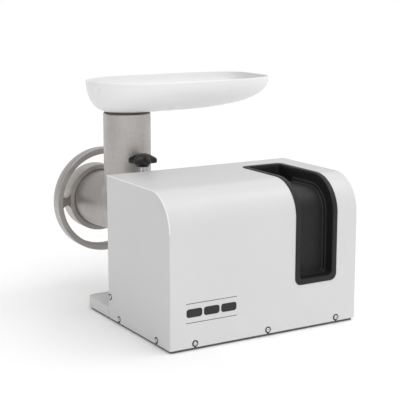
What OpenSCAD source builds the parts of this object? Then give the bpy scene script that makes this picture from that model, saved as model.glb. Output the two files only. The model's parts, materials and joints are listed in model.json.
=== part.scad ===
// Electric meat grinder: painted sheet housing, two stage spur drive and a
// screw-on grinding head with a feed tray. Millimetres, +Z up.
// The origin is on the ground, under the middle of the whole machine.
// Inside the file, pieces are drawn from the housing's own corner: X from its
// left end, Y from its front, Z from the underside of the base.

/* [Housing] */
// Length of the housing
housing_l = 366; // [350:1:400]
// Depth of the housing, front to back
housing_w = 218; // [216:1:230]
// Height of the housing above the underside of the base
housing_h = 250; // [248:1:280]
// Radius of the bend between the front and the top
bend_r = 61; // [30:1:70]
// Thickness of the cover's sheet
sheet = 2; // [1.5:0.5:3]
// Thickness of the upright back plate
plate_t = 3; // [3:0.5:4]

/* [Base] */
// Height of the base
base_h = 18; // [16:1:22]
// Width of the tongue under the head
tongue_w = 150; // [130:1:200]
// How far the tongue reaches behind the housing
tongue_out = 90; // [60:1:100]
// Corner radius of the tongue
tongue_r = 17; // [5:1:40]
// Height of the rubber feet
foot_h = 5; // [4:0.5:12]
// Radius of the rubber feet
foot_r = 18; // [12:0.5:19]

/* [Handle] */
// Width of the handle insert
handle_w = 85; // [80:1:95]
// Distance from the housing's right end to the insert
handle_in = 42; // [35:1:45]
// Depth of the finger recess
grip_depth = 22; // [15:1:24]
// Width of the flange round the recess
grip_flange = 9.5; // [8:0.5:13]
// Corner radius of the handle insert
handle_r = 12; // [6:1:15]

/* [Grinding head] */
// Distance of the head's axis from the housing's left end
head_in = 84.5; // [80:0.5:90]
// Height of the head's axis above the underside of the base
axis_h = 170; // [165:1:175]
// Distance of the feed pipe's axis behind the housing
pipe_out = 87; // [86:0.5:95]
// Outer radius of the feed pipe
pipe_r = 42.3; // [41:0.1:43]
// Inner radius of the feed pipe
throat_r = 38; // [37.6:0.1:39]
// Height of the top of the feed pipe
pipe_top = 342.6; // [320:0.1:360]
// Radius of the barrel's bore
barrel_r = 44.2; // [44:0.1:45]
// Number of holes across the grinder plate, from its middle
hole_rings = 3; // [2:1:3]
// Radius of the holes in the grinder plate
hole_r = 4; // [2:0.5:4.5]

/* [Ring nut] */
// Outer radius of the ring nut's hub
hub_r = 62.6; // [62:0.1:66]
// Outer radius of the hand wheel
hoop_r = 97.5; // [90:0.5:105]
// Radial width of the hand wheel's rim
hoop_w = 11.3; // [8:0.1:13]
// Length of the hand wheel's rim along the axis
hoop_t = 21; // [15:0.5:22]
// Number of spokes
spokes = 3; // [3:1:5]

/* [Feed tray] */
// Length of the tray
tray_l = 340; // [320:1:350]
// Width of the tray
tray_w = 182; // [170:1:200]
// Height of the tray's rim
tray_top = 400.5; // [390:0.5:410]
// Wall thickness of the tray
tray_t = 3; // [2:0.5:4]
// Inner radius of the tray's spigot
spigot_r = 34.5; // [33:0.5:34.5]

/* [Clamp] */
// Radius over the knob's lobes
knob_r = 24.8; // [20:0.1:25]
// Number of lobes on the knob
knob_lobes = 6; // [5:1:8]
// Radius of the clamp stud
stud_r = 4; // [3:0.5:5]

/* [Drive] */
// Teeth on the motor pinion
motor_teeth = 16; // [16:1:17]
// Teeth on the layshaft gear
lay_teeth = 56; // [55:1:57]
// Teeth on the layshaft pinion
pinion_teeth = 16; // [16:1:17]
// Teeth on the output gear
output_teeth = 46; // [45:1:47]
// Radius of the motor
motor_r = 62; // [58:0.5:62]

/* [Hidden] */
$fn = 96;
cut = 1;

// Screws: an M4 button head and the gaps round shafts and in joints
screw_r = 1.95;
screw_head_r = 3.8;
screw_head_h = 2;
fit_gap = 0.05;
press_gap = 0.02;

// Where the housing's corner stands, so that the machine is centred
ring_front = housing_w + 234;
x_left = -(housing_l + screw_head_h - hoop_r + head_in) / 2;
y_front = -(ring_front - screw_head_h) / 2;

// The back plate and what stands on it, along Y
back_1 = housing_w - sheet;
back_0 = back_1 - plate_t;
case_0 = back_0 - 70;
case_wall = 15;
case_1 = back_0 - 12;
pipe_y = housing_w + pipe_out;

// Stack of the head along Y
seal_1 = back_1 + 8;
neck_0 = seal_1 + 0.5;
neck_r = 34;
socket_1 = back_1 + 42;
barrel_0 = back_1 + 50;
hub_0 = ring_front - 33.4;
barrel_1 = ring_front - 11;
seat_0 = barrel_1 - 8.5;
plate_0 = barrel_1 - 7;
plate_1 = plate_0 + 10;
plate_r = 49.9;
thread_r = 52.8;

// The clamp stud stands a little to the left of the head's axis, clear of the pipe
clamp_x = head_in - 6;
clamp_y = housing_w + 17;
clamp_top = axis_h + 62;
pad_z = axis_h + sqrt(neck_r * neck_r - 36) + 0.1;
knob_z = clamp_top + 24;

// Gear centres in the plane of the back plate
stage1 = 2;
stage2 = 2.5;
centre1 = stage1 * (motor_teeth + lay_teeth) / 2;
centre2 = stage2 * (pinion_teeth + output_teeth) / 2;
angle2 = -30;
angle1 = -25;
out_x = head_in;
out_z = axis_h;
lay_x = out_x + centre2 * cos(angle2);
lay_z = out_z + centre2 * sin(angle2);
mot_x = lay_x + centre1 * cos(angle1);
mot_z = lay_z + centre1 * sin(angle1);

// Screws of the cover: [X, Z] on the front, [Y, Z] on the ends
front_screws = [for (i = [0:2]) [46 + i * 139.75, 6.5]];
end_screws = [[45.5, 6.5], [178, 6.5], [housing_w - 7.5, 38]];
back_screw_places = [
    [22, housing_h - 8], [housing_l / 2, housing_h - 8], [housing_l - 22, housing_h - 8],
    [7, 140], [housing_l - 7, 45], [housing_l - 7, 140]
];
foot_places = [
    [22, 22], [housing_l - 21, 22], [housing_l - 21, housing_w - 22],
    [22, housing_w + tongue_out - 34], [tongue_w - 22, housing_w + tongue_out - 34]
];
flange_w = 14;

// Switch and inlet on the back plate
switch_x = 300;
switch_z = 195;
button_r = 9;
button_drop = 12;
inlet_x = 325;
inlet_z = 58;

// Earth stud, through the cover's rear flange and the back plate
earth_x = 8;
earth_z = 45;

// ---------------------------------------------------------------- helpers

module place() {
    translate([x_left, y_front, foot_h]) children();
}

// A flat outline in X and Z, made solid from y0 to y1
module along_y(y0, y1) {
    translate([0, y1, 0]) rotate([90, 0, 0]) linear_extrude(y1 - y0) children();
}

// A flat outline in Y and Z, made solid from x0 to x1
module along_x(x0, x1) {
    translate([x0, 0, 0]) rotate([90, 0, 90]) linear_extrude(x1 - x0) children();
}

module rod_y(r, y0, y1, x, z) {
    translate([x, y0, z]) rotate([-90, 0, 0]) cylinder(r = r, h = y1 - y0);
}

module rod_x(r, x0, x1, y, z) {
    translate([x0, y, z]) rotate([0, 90, 0]) cylinder(r = r, h = x1 - x0);
}

module rod_z(r, z0, z1, x, y) {
    translate([x, y, z0]) cylinder(r = r, h = z1 - z0);
}

module tube_y(ri, ro, y0, y1, x, z) {
    difference() {
        rod_y(ro, y0, y1, x, z);
        rod_y(ri, y0 - cut, y1 + cut, x, z);
    }
}

// A body turned about the line through [x, z] along Y, from [radius, y] points
module turned_y(points, x, z) {
    translate([x, 0, z]) rotate([-90, 0, 0]) rotate_extrude() polygon(points);
}

module box(low, high) {
    translate(low) cube(high - low);
}

// Rounded rectangle in a plane, by its two corners
module round_box(x0, y0, x1, y1, r) {
    translate([x0 + r, y0]) square([x1 - x0 - 2 * r, y1 - y0]);
    translate([x0, y0 + r]) square([x1 - x0, y1 - y0 - 2 * r]);
    for (x = [x0 + r, x1 - r], y = [y0 + r, y1 - r]) translate([x, y]) circle(r);
}

// The housing's side outline in Y and Z, grown outwards by o
module side_outline(o) {
    r = bend_r + o;
    difference() {
        translate([-o, 0]) square([housing_w + o, housing_h + o]);
        translate([-o - cut, housing_h - bend_r]) square([r + cut, r + cut]);
    }
    intersection() {
        translate([bend_r, housing_h - bend_r]) circle(r);
        translate([-o, housing_h - bend_r]) square([r, r]);
    }
}

// A button head screw along +Y, its head's seat at y = 0
module button_screw(shank) {
    difference() {
        rotate([-90, 0, 0]) rotate_extrude() polygon([
            [0, -screw_head_h], [2.4, -screw_head_h], [3.3, -1.4], [screw_head_r, -0.3],
            [screw_head_r, 0], [screw_r, 0], [screw_r, shank], [0, shank]
        ]);
        translate([0, -screw_head_h - cut, 0]) rotate([-90, 0, 0]) cylinder(r = 1.45, h = 2.2, $fn = 6);
    }
}

// A socket head bolt along +Y, its head's seat at y = 0
module cap_bolt(r, shank) {
    difference() {
        union() {
            rod_y(1.7 * r, -2 * r, 0, 0, 0);
            rod_y(r, -cut, shank, 0, 0);
        }
        translate([0, -2 * r - cut, 0]) rotate([-90, 0, 0]) cylinder(r = 0.95 * r, h = r + cut, $fn = 6);
    }
}

// A ball bearing as one closed ring, with a groove on each face between its rings
module bearing(ri, ro, y0, y1, x, z) {
    mid = (ri + ro) / 2;
    g = (ro - ri) * 0.22;
    turned_y([
        [ri, y0], [mid - g, y0], [mid - g, y0 + 0.8], [mid + g, y0 + 0.8], [mid + g, y0], [ro, y0],
        [ro, y1], [mid + g, y1], [mid + g, y1 - 0.8], [mid - g, y1 - 0.8], [mid - g, y1], [ri, y1]
    ], x, z);
}

// Angle in degrees under an involute at radius r from base radius b
function involute(r, b) = r <= b ? 0 : tan(acos(b / r)) * 180 / PI - acos(b / r);

// Outline of a spur gear with a tooth's middle at angle a
function gear_outline(m, n, a) =
    let (
        pitch = m * n / 2,
        base = pitch * cos(20),
        root = pitch - 1.2 * m,
        tip = pitch + 0.92 * m,
        low = max(root + 0.05, base),
        half = 90 / n - 0.09 * 180 / PI / pitch,
        radii = [for (i = [0:3]) low + (tip - low) * i / 3],
        side = [for (r = radii) [r, half + involute(pitch, base) - involute(r, base)]]
    )
    [for (t = [0:n - 1])
        let (c = a + t * 360 / n)
        each concat(
            [root * [cos(c - side[0][1]), sin(c - side[0][1])]],
            [for (i = [0:3]) side[i][0] * [cos(c - side[i][1]), sin(c - side[i][1])]],
            [for (i = [3:-1:0]) side[i][0] * [cos(c + side[i][1]), sin(c + side[i][1])]],
            [root * [cos(c + side[0][1]), sin(c + side[0][1])]]
        )
    ];

module spur_gear(m, n, a, y0, y1, x, z) {
    translate([x, 0, z]) along_y(y0, y1) polygon(gear_outline(m, n, a));
}

// ---------------------------------------------------------------- base

module base_outline(inset) {
    gap = sheet + 0.3;
    translate([gap + inset, gap + inset])
        square([housing_l - 2 * gap - 2 * inset, housing_w + 0.3 - gap - 2 * inset]);
    intersection() {
        round_box(inset, inset, tongue_w - inset, housing_w + tongue_out - inset, tongue_r - inset);
        translate([0, housing_w + 0.3 - 2 * inset]) square([tongue_w, tongue_out]);
    }
}

module base_plate() {
    color("gainsboro") place() difference() {
        union() {
            difference() {
                linear_extrude(base_h) base_outline(0);
                translate([0, 0, -cut]) linear_extrude(base_h - 3) base_outline(4);
            }
            for (p = foot_places) rod_z(9, 0, base_h - 1, p[0], p[1]);
        }
        for (p = foot_places) rod_z(2.5 + fit_gap, -cut, 13, p[0], p[1]);
        for (p = front_screws) rod_y(screw_r + fit_gap, 0, 8, p[0], p[1]);
        for (i = [0:1], x = [0, housing_l - 8])
            rod_x(screw_r + fit_gap, x, x + 8, end_screws[i][0], end_screws[i][1]);
        for (i = [0:7])
            box([mot_x - 32 + i * 9, 78, base_h - 5], [mot_x - 28 + i * 9, 102, base_h + cut]);
    }
}

module rubber_feet() {
    color([0.07, 0.07, 0.07]) place() for (p = foot_places) difference() {
        translate([p[0], p[1], -foot_h]) cylinder(r1 = foot_r - 1.5, r2 = foot_r, h = foot_h);
        translate([p[0], p[1], -foot_h - cut]) cylinder(r = 5.2, h = 2.5 + cut);
        rod_z(2.5 + fit_gap, -foot_h - cut, cut, p[0], p[1]);
    }
}

module foot_screws() {
    color("silver") place() for (p = foot_places) difference() {
        union() {
            rod_z(4.6, 1 - foot_h, 2.5 - foot_h, p[0], p[1]);
            rod_z(2.5, 2 - foot_h, 12, p[0], p[1]);
        }
        translate([p[0], p[1], 0.5 - foot_h]) cylinder(r = 1.8, h = 1.5, $fn = 6);
    }
}

// ---------------------------------------------------------------- cover

handle_x1 = housing_l - handle_in;
handle_x0 = handle_x1 - handle_w;
handle_back = 172;
handle_low = 74;
// How far the insert's flange lies over the cover's cutout
grip_lip = 4;

module cover_slot(x, z) {
    translate([x - 2.2, -cut, -cut]) cube([4.4, sheet + 2 * cut, z + cut]);
    rod_y(2.2, -cut, sheet + cut, x, z);
}

module housing_cover() {
    color("whitesmoke") place() difference() {
        along_x(0, housing_l) side_outline(0);
        along_x(sheet, housing_l - sheet) difference() {
            side_outline(-sheet);
            translate([back_1, 0]) square([sheet + cut, housing_h]);
        }
        box([sheet, sheet, -cut], [housing_l - sheet, housing_w + cut, base_h + 0.3]);
        box(
            [flange_w, back_1 - cut, base_h],
            [housing_l - flange_w, housing_w + cut, housing_h - flange_w]
        );
        along_x(handle_x0 + grip_lip, handle_x1 - grip_lip) difference() {
            translate([-cut, handle_low + grip_lip])
                square([handle_back - grip_lip + cut, housing_h - handle_low]);
            side_outline(-sheet - 1);
        }
        for (p = front_screws) cover_slot(p[0], p[1]);
        for (side = [0, 1], p = end_screws)
            translate([side * housing_l, 0, 0]) mirror([side, 0, 0]) {
                box([-cut, p[0] - 2.2, p[1] < 20 ? -cut : p[1] - 5], [sheet + cut, p[0] + 2.2, p[1]]);
                rod_x(2.2, -cut, sheet + cut, p[0], p[1]);
            }
        for (p = back_screw_places) rod_y(screw_r + fit_gap, back_1 - cut, housing_w + cut, p[0], p[1]);
        rod_y(3 + fit_gap, back_1 - cut, housing_w + cut, earth_x, earth_z);
    }
}

module cover_screws() {
    color("silver") place() {
        for (p = front_screws) translate([p[0], 0, p[1]]) button_screw(7);
        for (p = end_screws) {
            shank = p[1] < 20 ? 7 : 5.5;
            translate([0, p[0], p[1]]) rotate([0, 0, -90]) button_screw(shank);
            translate([housing_l, p[0], p[1]]) rotate([0, 0, 90]) button_screw(shank);
        }
    }
}

// ---------------------------------------------------------------- handle

// The band between the housing's outline and a depth under it, front and top only
module grip_band(o, depth, low, back) {
    intersection() {
        difference() {
            side_outline(o);
            side_outline(-depth);
        }
        translate([-5, low]) square([back + 5, housing_h + 5 - low]);
    }
}

// Keeps what lies within the insert's outline, seen from the front and from above
module within_grip(inset, r) {
    intersection() {
        along_y(-10, handle_back + 10)
            round_box(handle_x0 + inset, handle_low + inset, handle_x1 - inset, housing_h + 40, r);
        linear_extrude(housing_h + 10)
            round_box(handle_x0 + inset, -40, handle_x1 - inset, handle_back - inset, r);
        children();
    }
}

module handle_insert() {
    well_y = 96;
    well_z = housing_h - 52;
    wall = 2.5;
    body_in = grip_flange - wall;
    color([0.16, 0.16, 0.16]) place() difference() {
        union() {
            within_grip(0, handle_r)
                along_x(handle_x0, handle_x1) grip_band(1.2, -0.05, handle_low, handle_back);
            within_grip(body_in, handle_r - grip_lip) along_x(handle_x0, handle_x1) {
                grip_band(0.5, grip_depth + wall, handle_low, handle_back);
                translate([well_y - wall, well_z - wall])
                    square([handle_back - well_y, housing_h - well_z - 0.5]);
            }
        }
        within_grip(grip_flange, handle_r - grip_lip) along_x(handle_x0, handle_x1) {
            grip_band(3, grip_depth, handle_low, handle_back);
            translate([well_y, well_z]) square([handle_back - well_y, housing_h - well_z - 5]);
        }
    }
}

// ---------------------------------------------------------------- back plate

module back_plate() {
    color("gainsboro") place() difference() {
        union() {
            box([2.5, back_0, base_h], [housing_l - 2.5, back_1, housing_h - 2.5]);
            for (x = [2.5, housing_l - 4.5])
                box([x, back_0 - 15, base_h], [x + 2, back_0 + cut, housing_h - 8]);
        }
        rod_y(24.5, back_0 - cut, back_1 + cut, out_x, out_z);
        for (a = [45:90:315])
            rod_y(3.3, back_0 - cut, back_1 + cut, out_x + 52 * cos(a), out_z + 52 * sin(a));
        along_y(back_0 - cut, back_1 + cut) {
            translate([switch_x, switch_z]) square([41, 55], center = true);
            translate([inlet_x, inlet_z]) square([29, 21], center = true);
            for (i = [0:6]) translate([190, 66 + i * 11]) square([60, 5]);
        }
        for (s = [-20, 20]) rod_y(1.5 + fit_gap, back_0 - cut, back_1 + cut, inlet_x + s, inlet_z);
        for (p = back_screw_places) rod_y(screw_r + fit_gap, back_0 - cut, back_1 + cut, p[0], p[1]);
        rod_y(3 + fit_gap, back_0 - cut, back_1 + cut, earth_x, earth_z);
        for (x = [0, housing_l - 8])
            rod_x(screw_r + fit_gap, x, x + 8, end_screws[2][0], end_screws[2][1]);
    }
}

module back_screws() {
    color("silver") place() for (p = back_screw_places)
        translate([p[0], housing_w, p[1]]) rotate([0, 0, 180]) button_screw(7);
}

module earth_stud() {
    color("silver") place() {
        rod_y(3, back_0 - 6, housing_w + 10, earth_x, earth_z);
        tube_y(3 + press_gap, 5.8, housing_w, housing_w + 1.5, earth_x, earth_z);
        difference() {
            translate([earth_x, housing_w + 1.5, earth_z]) rotate([-90, 0, 0])
                cylinder(r = 5.4, h = 5, $fn = 6);
            rod_y(3 + press_gap, housing_w, housing_w + 12, earth_x, earth_z);
        }
    }
}

// ---------------------------------------------------------------- head socket

module head_socket() {
    color([0.62, 0.61, 0.6]) place() difference() {
        union() {
            turned_y([
                [0, back_1], [59, back_1], [59, back_1 + 7], [57, back_1 + 9], [46.5, back_1 + 10],
                [45, socket_1 - 1.5], [43.5, socket_1], [0, socket_1]
            ], out_x, out_z);
            rod_z(12, out_z + 30, clamp_top, clamp_x, clamp_y);
        }
        rod_y(neck_r + fit_gap, seal_1, socket_1 + cut, out_x, out_z);
        rod_y(24 + press_gap, back_1 - cut, seal_1 + cut, out_x, out_z);
        rod_z(stud_r + fit_gap, out_z, clamp_top + cut, clamp_x, clamp_y);
        rod_z(7.3, out_z, pad_z + 9, clamp_x, clamp_y);
        for (a = [45:90:315]) {
            x = out_x + 52 * cos(a);
            z = out_z + 52 * sin(a);
            rod_y(3 + fit_gap, back_1 - cut, back_1 + 12, x, z);
            rod_y(5.4, back_1 + 6, back_1 + 16, x, z);
        }
    }
}

module socket_bolts() {
    color("silver") place() for (a = [45:90:315])
        translate([out_x + 52 * cos(a), back_1 + 6, out_z + 52 * sin(a)]) rotate([0, 0, 180]) cap_bolt(3, 17);
}

module shaft_seal() {
    color([0.1, 0.1, 0.1]) place() difference() {
        rod_y(24, back_1 + 0.5, seal_1 - 0.5, out_x, out_z);
        rod_y(15 + fit_gap, back_1, seal_1, out_x, out_z);
        tube_y(17.5, 21.5, seal_1 - 3, seal_1, out_x, out_z);
    }
}

// ---------------------------------------------------------------- gearbox

lug_places = [
    [out_x - 56, out_z - 42], [out_x - 56, out_z + 42], [out_x + 30, out_z + 63],
    [lay_x + 50, lay_z + 46], [lay_x + 2, lay_z - 70], [mot_x + 34, mot_z]
];

module case_outline(o) {
    translate([out_x, out_z]) circle(62 + o);
    translate([lay_x, lay_z]) circle(60.5 + o);
    translate([mot_x, mot_z]) circle(24 + o);
}

module lug_outline() {
    for (p = lug_places) translate(p) circle(7);
}

module lug_holes(r, y0, y1) {
    for (p = lug_places) rod_y(r, y0, y1, p[0], p[1]);
}

module gearbox_case() {
    color([0.7, 0.71, 0.72]) place() difference() {
        union() {
            along_y(case_0, case_1) case_outline(5);
            along_y(case_1 - 12, case_1) lug_outline();
            rod_y(motor_r, case_0, case_0 + 6, mot_x, mot_z);
        }
        along_y(case_0 + case_wall, case_1 + cut) case_outline(0);
        rod_y(23.5 + press_gap, case_0 + 3, case_1, out_x, out_z);
        rod_y(20 + press_gap, case_0 + 3, case_1, lay_x, lay_z);
        rod_y(20.5, case_0 - cut, case_1, mot_x, mot_z);
        lug_holes(2.5 + fit_gap, case_0, case_1 + cut);
        lug_holes(4.6, case_1 - 18, case_1 - 12);
    }
}

module gearbox_cover() {
    color([0.66, 0.67, 0.68]) place() difference() {
        union() {
            along_y(case_1, back_0) {
                case_outline(5);
                lug_outline();
            }
            rod_y(37, case_1 - 4, case_1 + cut, out_x, out_z);
        }
        rod_y(31 + press_gap, case_1 - 5, back_0 + cut, out_x, out_z);
        rod_y(20 + press_gap, case_1 - cut, back_0 + cut, lay_x, lay_z);
        lug_holes(2.5 + fit_gap, case_1 - cut, back_0 + cut);
        for (a = [45:90:315])
            rod_y(3 + fit_gap, case_1 - cut, back_0 + cut, out_x + 52 * cos(a), out_z + 52 * sin(a));
    }
}

module gearbox_bolts() {
    color("silver") place() for (p = lug_places)
        translate([p[0], case_1 - 12, p[1]]) cap_bolt(2.5, 23.5);
}

module output_bearings() {
    color([0.75, 0.75, 0.77]) place() {
        bearing(12.5 + fit_gap, 23.5, case_0 + 3, case_0 + case_wall, out_x, out_z);
        bearing(15 + fit_gap, 31, case_1 - 4, back_0, out_x, out_z);
    }
}

module output_shaft() {
    color([0.55, 0.56, 0.58]) place() difference() {
        union() {
            rod_y(12.5, case_0 + 3.5, case_0 + case_wall + 1, out_x, out_z);
            rod_y(16, case_0 + case_wall + 0.5, case_1 - 4.5, out_x, out_z);
            rod_y(15, case_1 - 5, seal_1, out_x, out_z);
        }
        box([out_x - 8.05, seal_1 - 19, out_z - 8.05], [out_x + 8.05, seal_1 + cut, out_z + 8.05]);
        box([out_x - 4, case_1 - 21, out_z + 12], [out_x + 4, case_1 - 5, out_z + 20]);
    }
}

module output_gear() {
    color([0.5, 0.51, 0.53]) place() difference() {
        spur_gear(stage2, output_teeth, angle2, case_1 - 21, case_1 - 5, out_x, out_z);
        rod_y(16 + press_gap, case_1 - 30, case_1, out_x, out_z);
        box([out_x - 4, case_1 - 22, out_z + 10], [out_x + 4, case_1, out_z + 20]);
        for (a = [0:60:300])
            rod_y(9, case_1 - 30, case_1, out_x + 36 * cos(a + 30), out_z + 36 * sin(a + 30));
    }
}

module output_key() {
    color([0.6, 0.6, 0.62]) place()
        box([out_x - 3.97, case_1 - 21, out_z + 12.03], [out_x + 3.97, case_1 - 5, out_z + 19.95]);
}

module lay_bearings() {
    color([0.75, 0.75, 0.77]) place() {
        bearing(8.5 + fit_gap, 20, case_0 + 3, case_0 + case_wall, lay_x, lay_z);
        bearing(8.5 + fit_gap, 20, case_1, back_0, lay_x, lay_z);
    }
}

module lay_shaft() {
    color([0.55, 0.56, 0.58]) place() {
        rod_y(8.5, case_0 + 3.5, back_0 - 0.5, lay_x, lay_z);
        rod_y(11, case_0 + case_wall + 0.5, case_1 - 0.5, lay_x, lay_z);
        spur_gear(stage2, pinion_teeth, angle2 + 180 + 180 / pinion_teeth,
            case_1 - 22, case_1 - 3, lay_x, lay_z);
    }
}

module lay_gear() {
    color([0.5, 0.51, 0.53]) place() difference() {
        spur_gear(stage1, lay_teeth, angle1 + 180 / lay_teeth,
            case_0 + 20, case_0 + 33, lay_x, lay_z);
        rod_y(11 + press_gap, case_0 + 10, case_0 + 40, lay_x, lay_z);
        for (a = [0:60:300])
            rod_y(9, case_0 + 10, case_0 + 40, lay_x + 34 * cos(a), lay_z + 34 * sin(a));
    }
}

// ---------------------------------------------------------------- motor

shell_0 = case_0 - 91;
shell_1 = case_0 - 8;

module motor_shell() {
    color([0.25, 0.27, 0.3]) place() difference() {
        rod_y(motor_r, shell_0, shell_1, mot_x, mot_z);
        rod_y(motor_r - 3, shell_0 - cut, shell_1 + cut, mot_x, mot_z);
    }
}

module front_bell() {
    color([0.7, 0.71, 0.72]) place() difference() {
        union() {
            rod_y(motor_r, shell_1, case_0, mot_x, mot_z);
            rod_y(26, shell_1 - 6, case_0, mot_x, mot_z);
        }
        rod_y(20 + press_gap, shell_1 - 4, case_0 + cut, mot_x, mot_z);
        rod_y(12, shell_1 - 10, case_0, mot_x, mot_z);
    }
}

module rear_bell() {
    color([0.7, 0.71, 0.72]) place() difference() {
        union() {
            rod_y(motor_r, shell_0 - 8, shell_0, mot_x, mot_z);
            rod_y(26, shell_0 - 8, shell_0 + 6, mot_x, mot_z);
        }
        rod_y(20 + press_gap, shell_0 - 8 - cut, shell_0 + 4, mot_x, mot_z);
        rod_y(12, shell_0 - 10, shell_0 + 10, mot_x, mot_z);
        for (a = [15:30:345])
            rod_y(5, shell_0 - 10, shell_0 + cut, mot_x + 44 * cos(a), mot_z + 44 * sin(a));
    }
}

module stator_core() {
    color([0.4, 0.4, 0.42]) place()
        tube_y(36.3, motor_r - 3 - press_gap, shell_0 + 18, shell_1 - 20, mot_x, mot_z);
}

module stator_windings() {
    color([0.72, 0.4, 0.2]) place() for (y = [shell_0 + 9, shell_1 - 20])
        turned_y([
            [40, y], [52, y], [54, y + 2], [54, y + 7], [52, y + 9], [40, y + 9], [38, y + 7], [38, y + 2]
        ], mot_x, mot_z);
}

module motor_bearings() {
    color([0.75, 0.75, 0.77]) place() {
        bearing(8.5 + fit_gap, 20, shell_1 - 4, case_0, mot_x, mot_z);
        bearing(8.5 + fit_gap, 20, shell_0 - 8, shell_0 + 4, mot_x, mot_z);
    }
}

module motor_shaft() {
    color([0.55, 0.56, 0.58]) place() {
        rod_y(8.5, shell_0 - 16, case_0 + 34, mot_x, mot_z);
        rod_y(11, shell_0 + 6, shell_1 - 6, mot_x, mot_z);
        spur_gear(stage1, motor_teeth, angle1 + 180, case_0 + 18, case_0 + 34, mot_x, mot_z);
    }
}

module rotor_core() {
    color([0.45, 0.45, 0.47]) place() difference() {
        union() {
            rod_y(35.8, shell_0 + 18, shell_1 - 20, mot_x, mot_z);
            rod_y(31, shell_0 + 13, shell_1 - 15, mot_x, mot_z);
        }
        rod_y(11 + press_gap, shell_0, shell_1, mot_x, mot_z);
    }
}

module cooling_fan() {
    color([0.2, 0.2, 0.22]) place() difference() {
        union() {
            rod_y(13, shell_0 - 15.5, shell_0 - 9, mot_x, mot_z);
            rod_y(50, shell_0 - 10.5, shell_0 - 9, mot_x, mot_z);
            for (a = [0:45:315])
                translate([mot_x, 0, mot_z]) rotate([0, a, 0])
                    box([12, shell_0 - 15.5, -1], [49, shell_0 - 10, 1]);
        }
        rod_y(8.5 + press_gap, shell_0 - 17, shell_0, mot_x, mot_z);
    }
}

module motor_cradle() {
    color([0.3, 0.3, 0.3]) place() for (y = [shell_0 + 10, shell_1 - 25]) difference() {
        box([mot_x - 38, y, base_h], [mot_x + 38, y + 15, mot_z - 40]);
        rod_y(motor_r + 0.1, y - cut, y + 16, mot_x, mot_z);
    }
}

// ---------------------------------------------------------------- electrics

module run_capacitor() {
    color([0.85, 0.85, 0.83]) place() {
        rod_x(20, 22, 98, 50, 45);
        rod_x(18, 98, 100, 50, 45);
    }
}

module capacitor_clip() {
    color("silver") place() difference() {
        union() {
            rod_x(21.5, 52, 66, 50, 45);
            box([52, 42, base_h], [66, 58, 30]);
            box([52, 26, base_h], [66, 74, base_h + 2]);
        }
        rod_x(20 + press_gap, 50, 68, 50, 45);
    }
}

module terminal_block() {
    color([0.9, 0.88, 0.8]) place() difference() {
        box([290, 118, base_h], [350, 146, 36]);
        for (x = [300:10:340]) rod_z(2.5, 30, 37, x, 124);
    }
}

// A run of wire through the points, with round bends
module wire(points) {
    for (i = [0:len(points) - 2]) {
        v = points[i + 1] - points[i];
        translate(points[i])
            rotate([0, acos(v[2] / norm(v)), atan2(v[1], v[0])])
                cylinder(r = 2.2, h = norm(v), $fn = 24);
    }
    for (i = [1:len(points) - 2]) translate(points[i]) sphere(2.2, $fn = 24);
}

module wiring() {
    color([0.2, 0.3, 0.6]) place() {
        wire([[inlet_x, back_0 - 20, inlet_z], [inlet_x, 136, inlet_z], [inlet_x, 136, 36]]);
        wire([[switch_x, 195, switch_z - 25], [switch_x, 195, 80], [switch_x, 136, 80], [switch_x, 136, 36]]);
        wire([[312, 128, 36], [312, 128, mot_z], [mot_x + motor_r + 0.1, 128, mot_z]]);
        wire([[100, 50, 45], [128, 50, 45], [128, 66, 45], [128, 66, mot_z], [mot_x - motor_r - 0.1, 66, mot_z]]);
    }
}

module switch_body() {
    color([0.2, 0.2, 0.2]) place() difference() {
        box([switch_x - 20, back_0 - 30, switch_z - 25], [switch_x + 20, back_1, switch_z + 25]);
        for (s = [-1, 1]) rod_y(6.5, back_1 - 14, back_1 + cut, switch_x, switch_z + s * button_drop);
    }
}

module switch_bezel() {
    color([0.15, 0.15, 0.15]) place() difference() {
        along_y(back_1, back_1 + 4) translate([switch_x - 24, switch_z - 32]) round_box(0, 0, 48, 64, 6);
        for (s = [-1, 1])
            rod_y(button_r + 0.3, back_1 - cut, back_1 + 5, switch_x, switch_z + s * button_drop);
    }
}

module push_button(z) {
    rod_y(6, back_1 - 9, back_1 + 3.2, switch_x, z);
    rod_y(button_r, back_1 + 3.1, back_1 + 7, switch_x, z);
    rod_y(button_r - 1.5, back_1 + 6.9, back_1 + 7.6, switch_x, z);
}

module start_button() {
    color([0.1, 0.55, 0.2]) place() push_button(switch_z + button_drop);
}

module stop_button() {
    color([0.75, 0.1, 0.1]) place() push_button(switch_z - button_drop);
}

module power_inlet() {
    color([0.12, 0.12, 0.12]) place() difference() {
        union() {
            along_y(back_1, back_1 + 2.5) translate([inlet_x - 25, inlet_z - 12]) round_box(0, 0, 50, 24, 5);
            box([inlet_x - 14, back_0 - 20, inlet_z - 10], [inlet_x + 14, back_1 + cut, inlet_z + 10]);
        }
        box([inlet_x - 12.2, back_0 - 14, inlet_z - 8.2], [inlet_x + 12.2, back_1 + 4, inlet_z + 8.2]);
        for (s = [-7, 0, 7])
            box([inlet_x + s - 1.05, back_0 - 19, inlet_z - 2.05 + (s == 0 ? 3 : 0)],
                [inlet_x + s + 1.05, back_0, inlet_z + 2.05 + (s == 0 ? 3 : 0)]);
        for (s = [-20, 20]) rod_y(1.5 + fit_gap, back_1 - cut, back_1 + 4, inlet_x + s, inlet_z);
    }
}

module inlet_pins() {
    color([0.8, 0.7, 0.4]) place() for (s = [-7, 0, 7])
        box([inlet_x + s - 1, back_0 - 18, inlet_z - 2 + (s == 0 ? 3 : 0)],
            [inlet_x + s + 1, back_1 - 1, inlet_z + 2 + (s == 0 ? 3 : 0)]);
}

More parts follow.
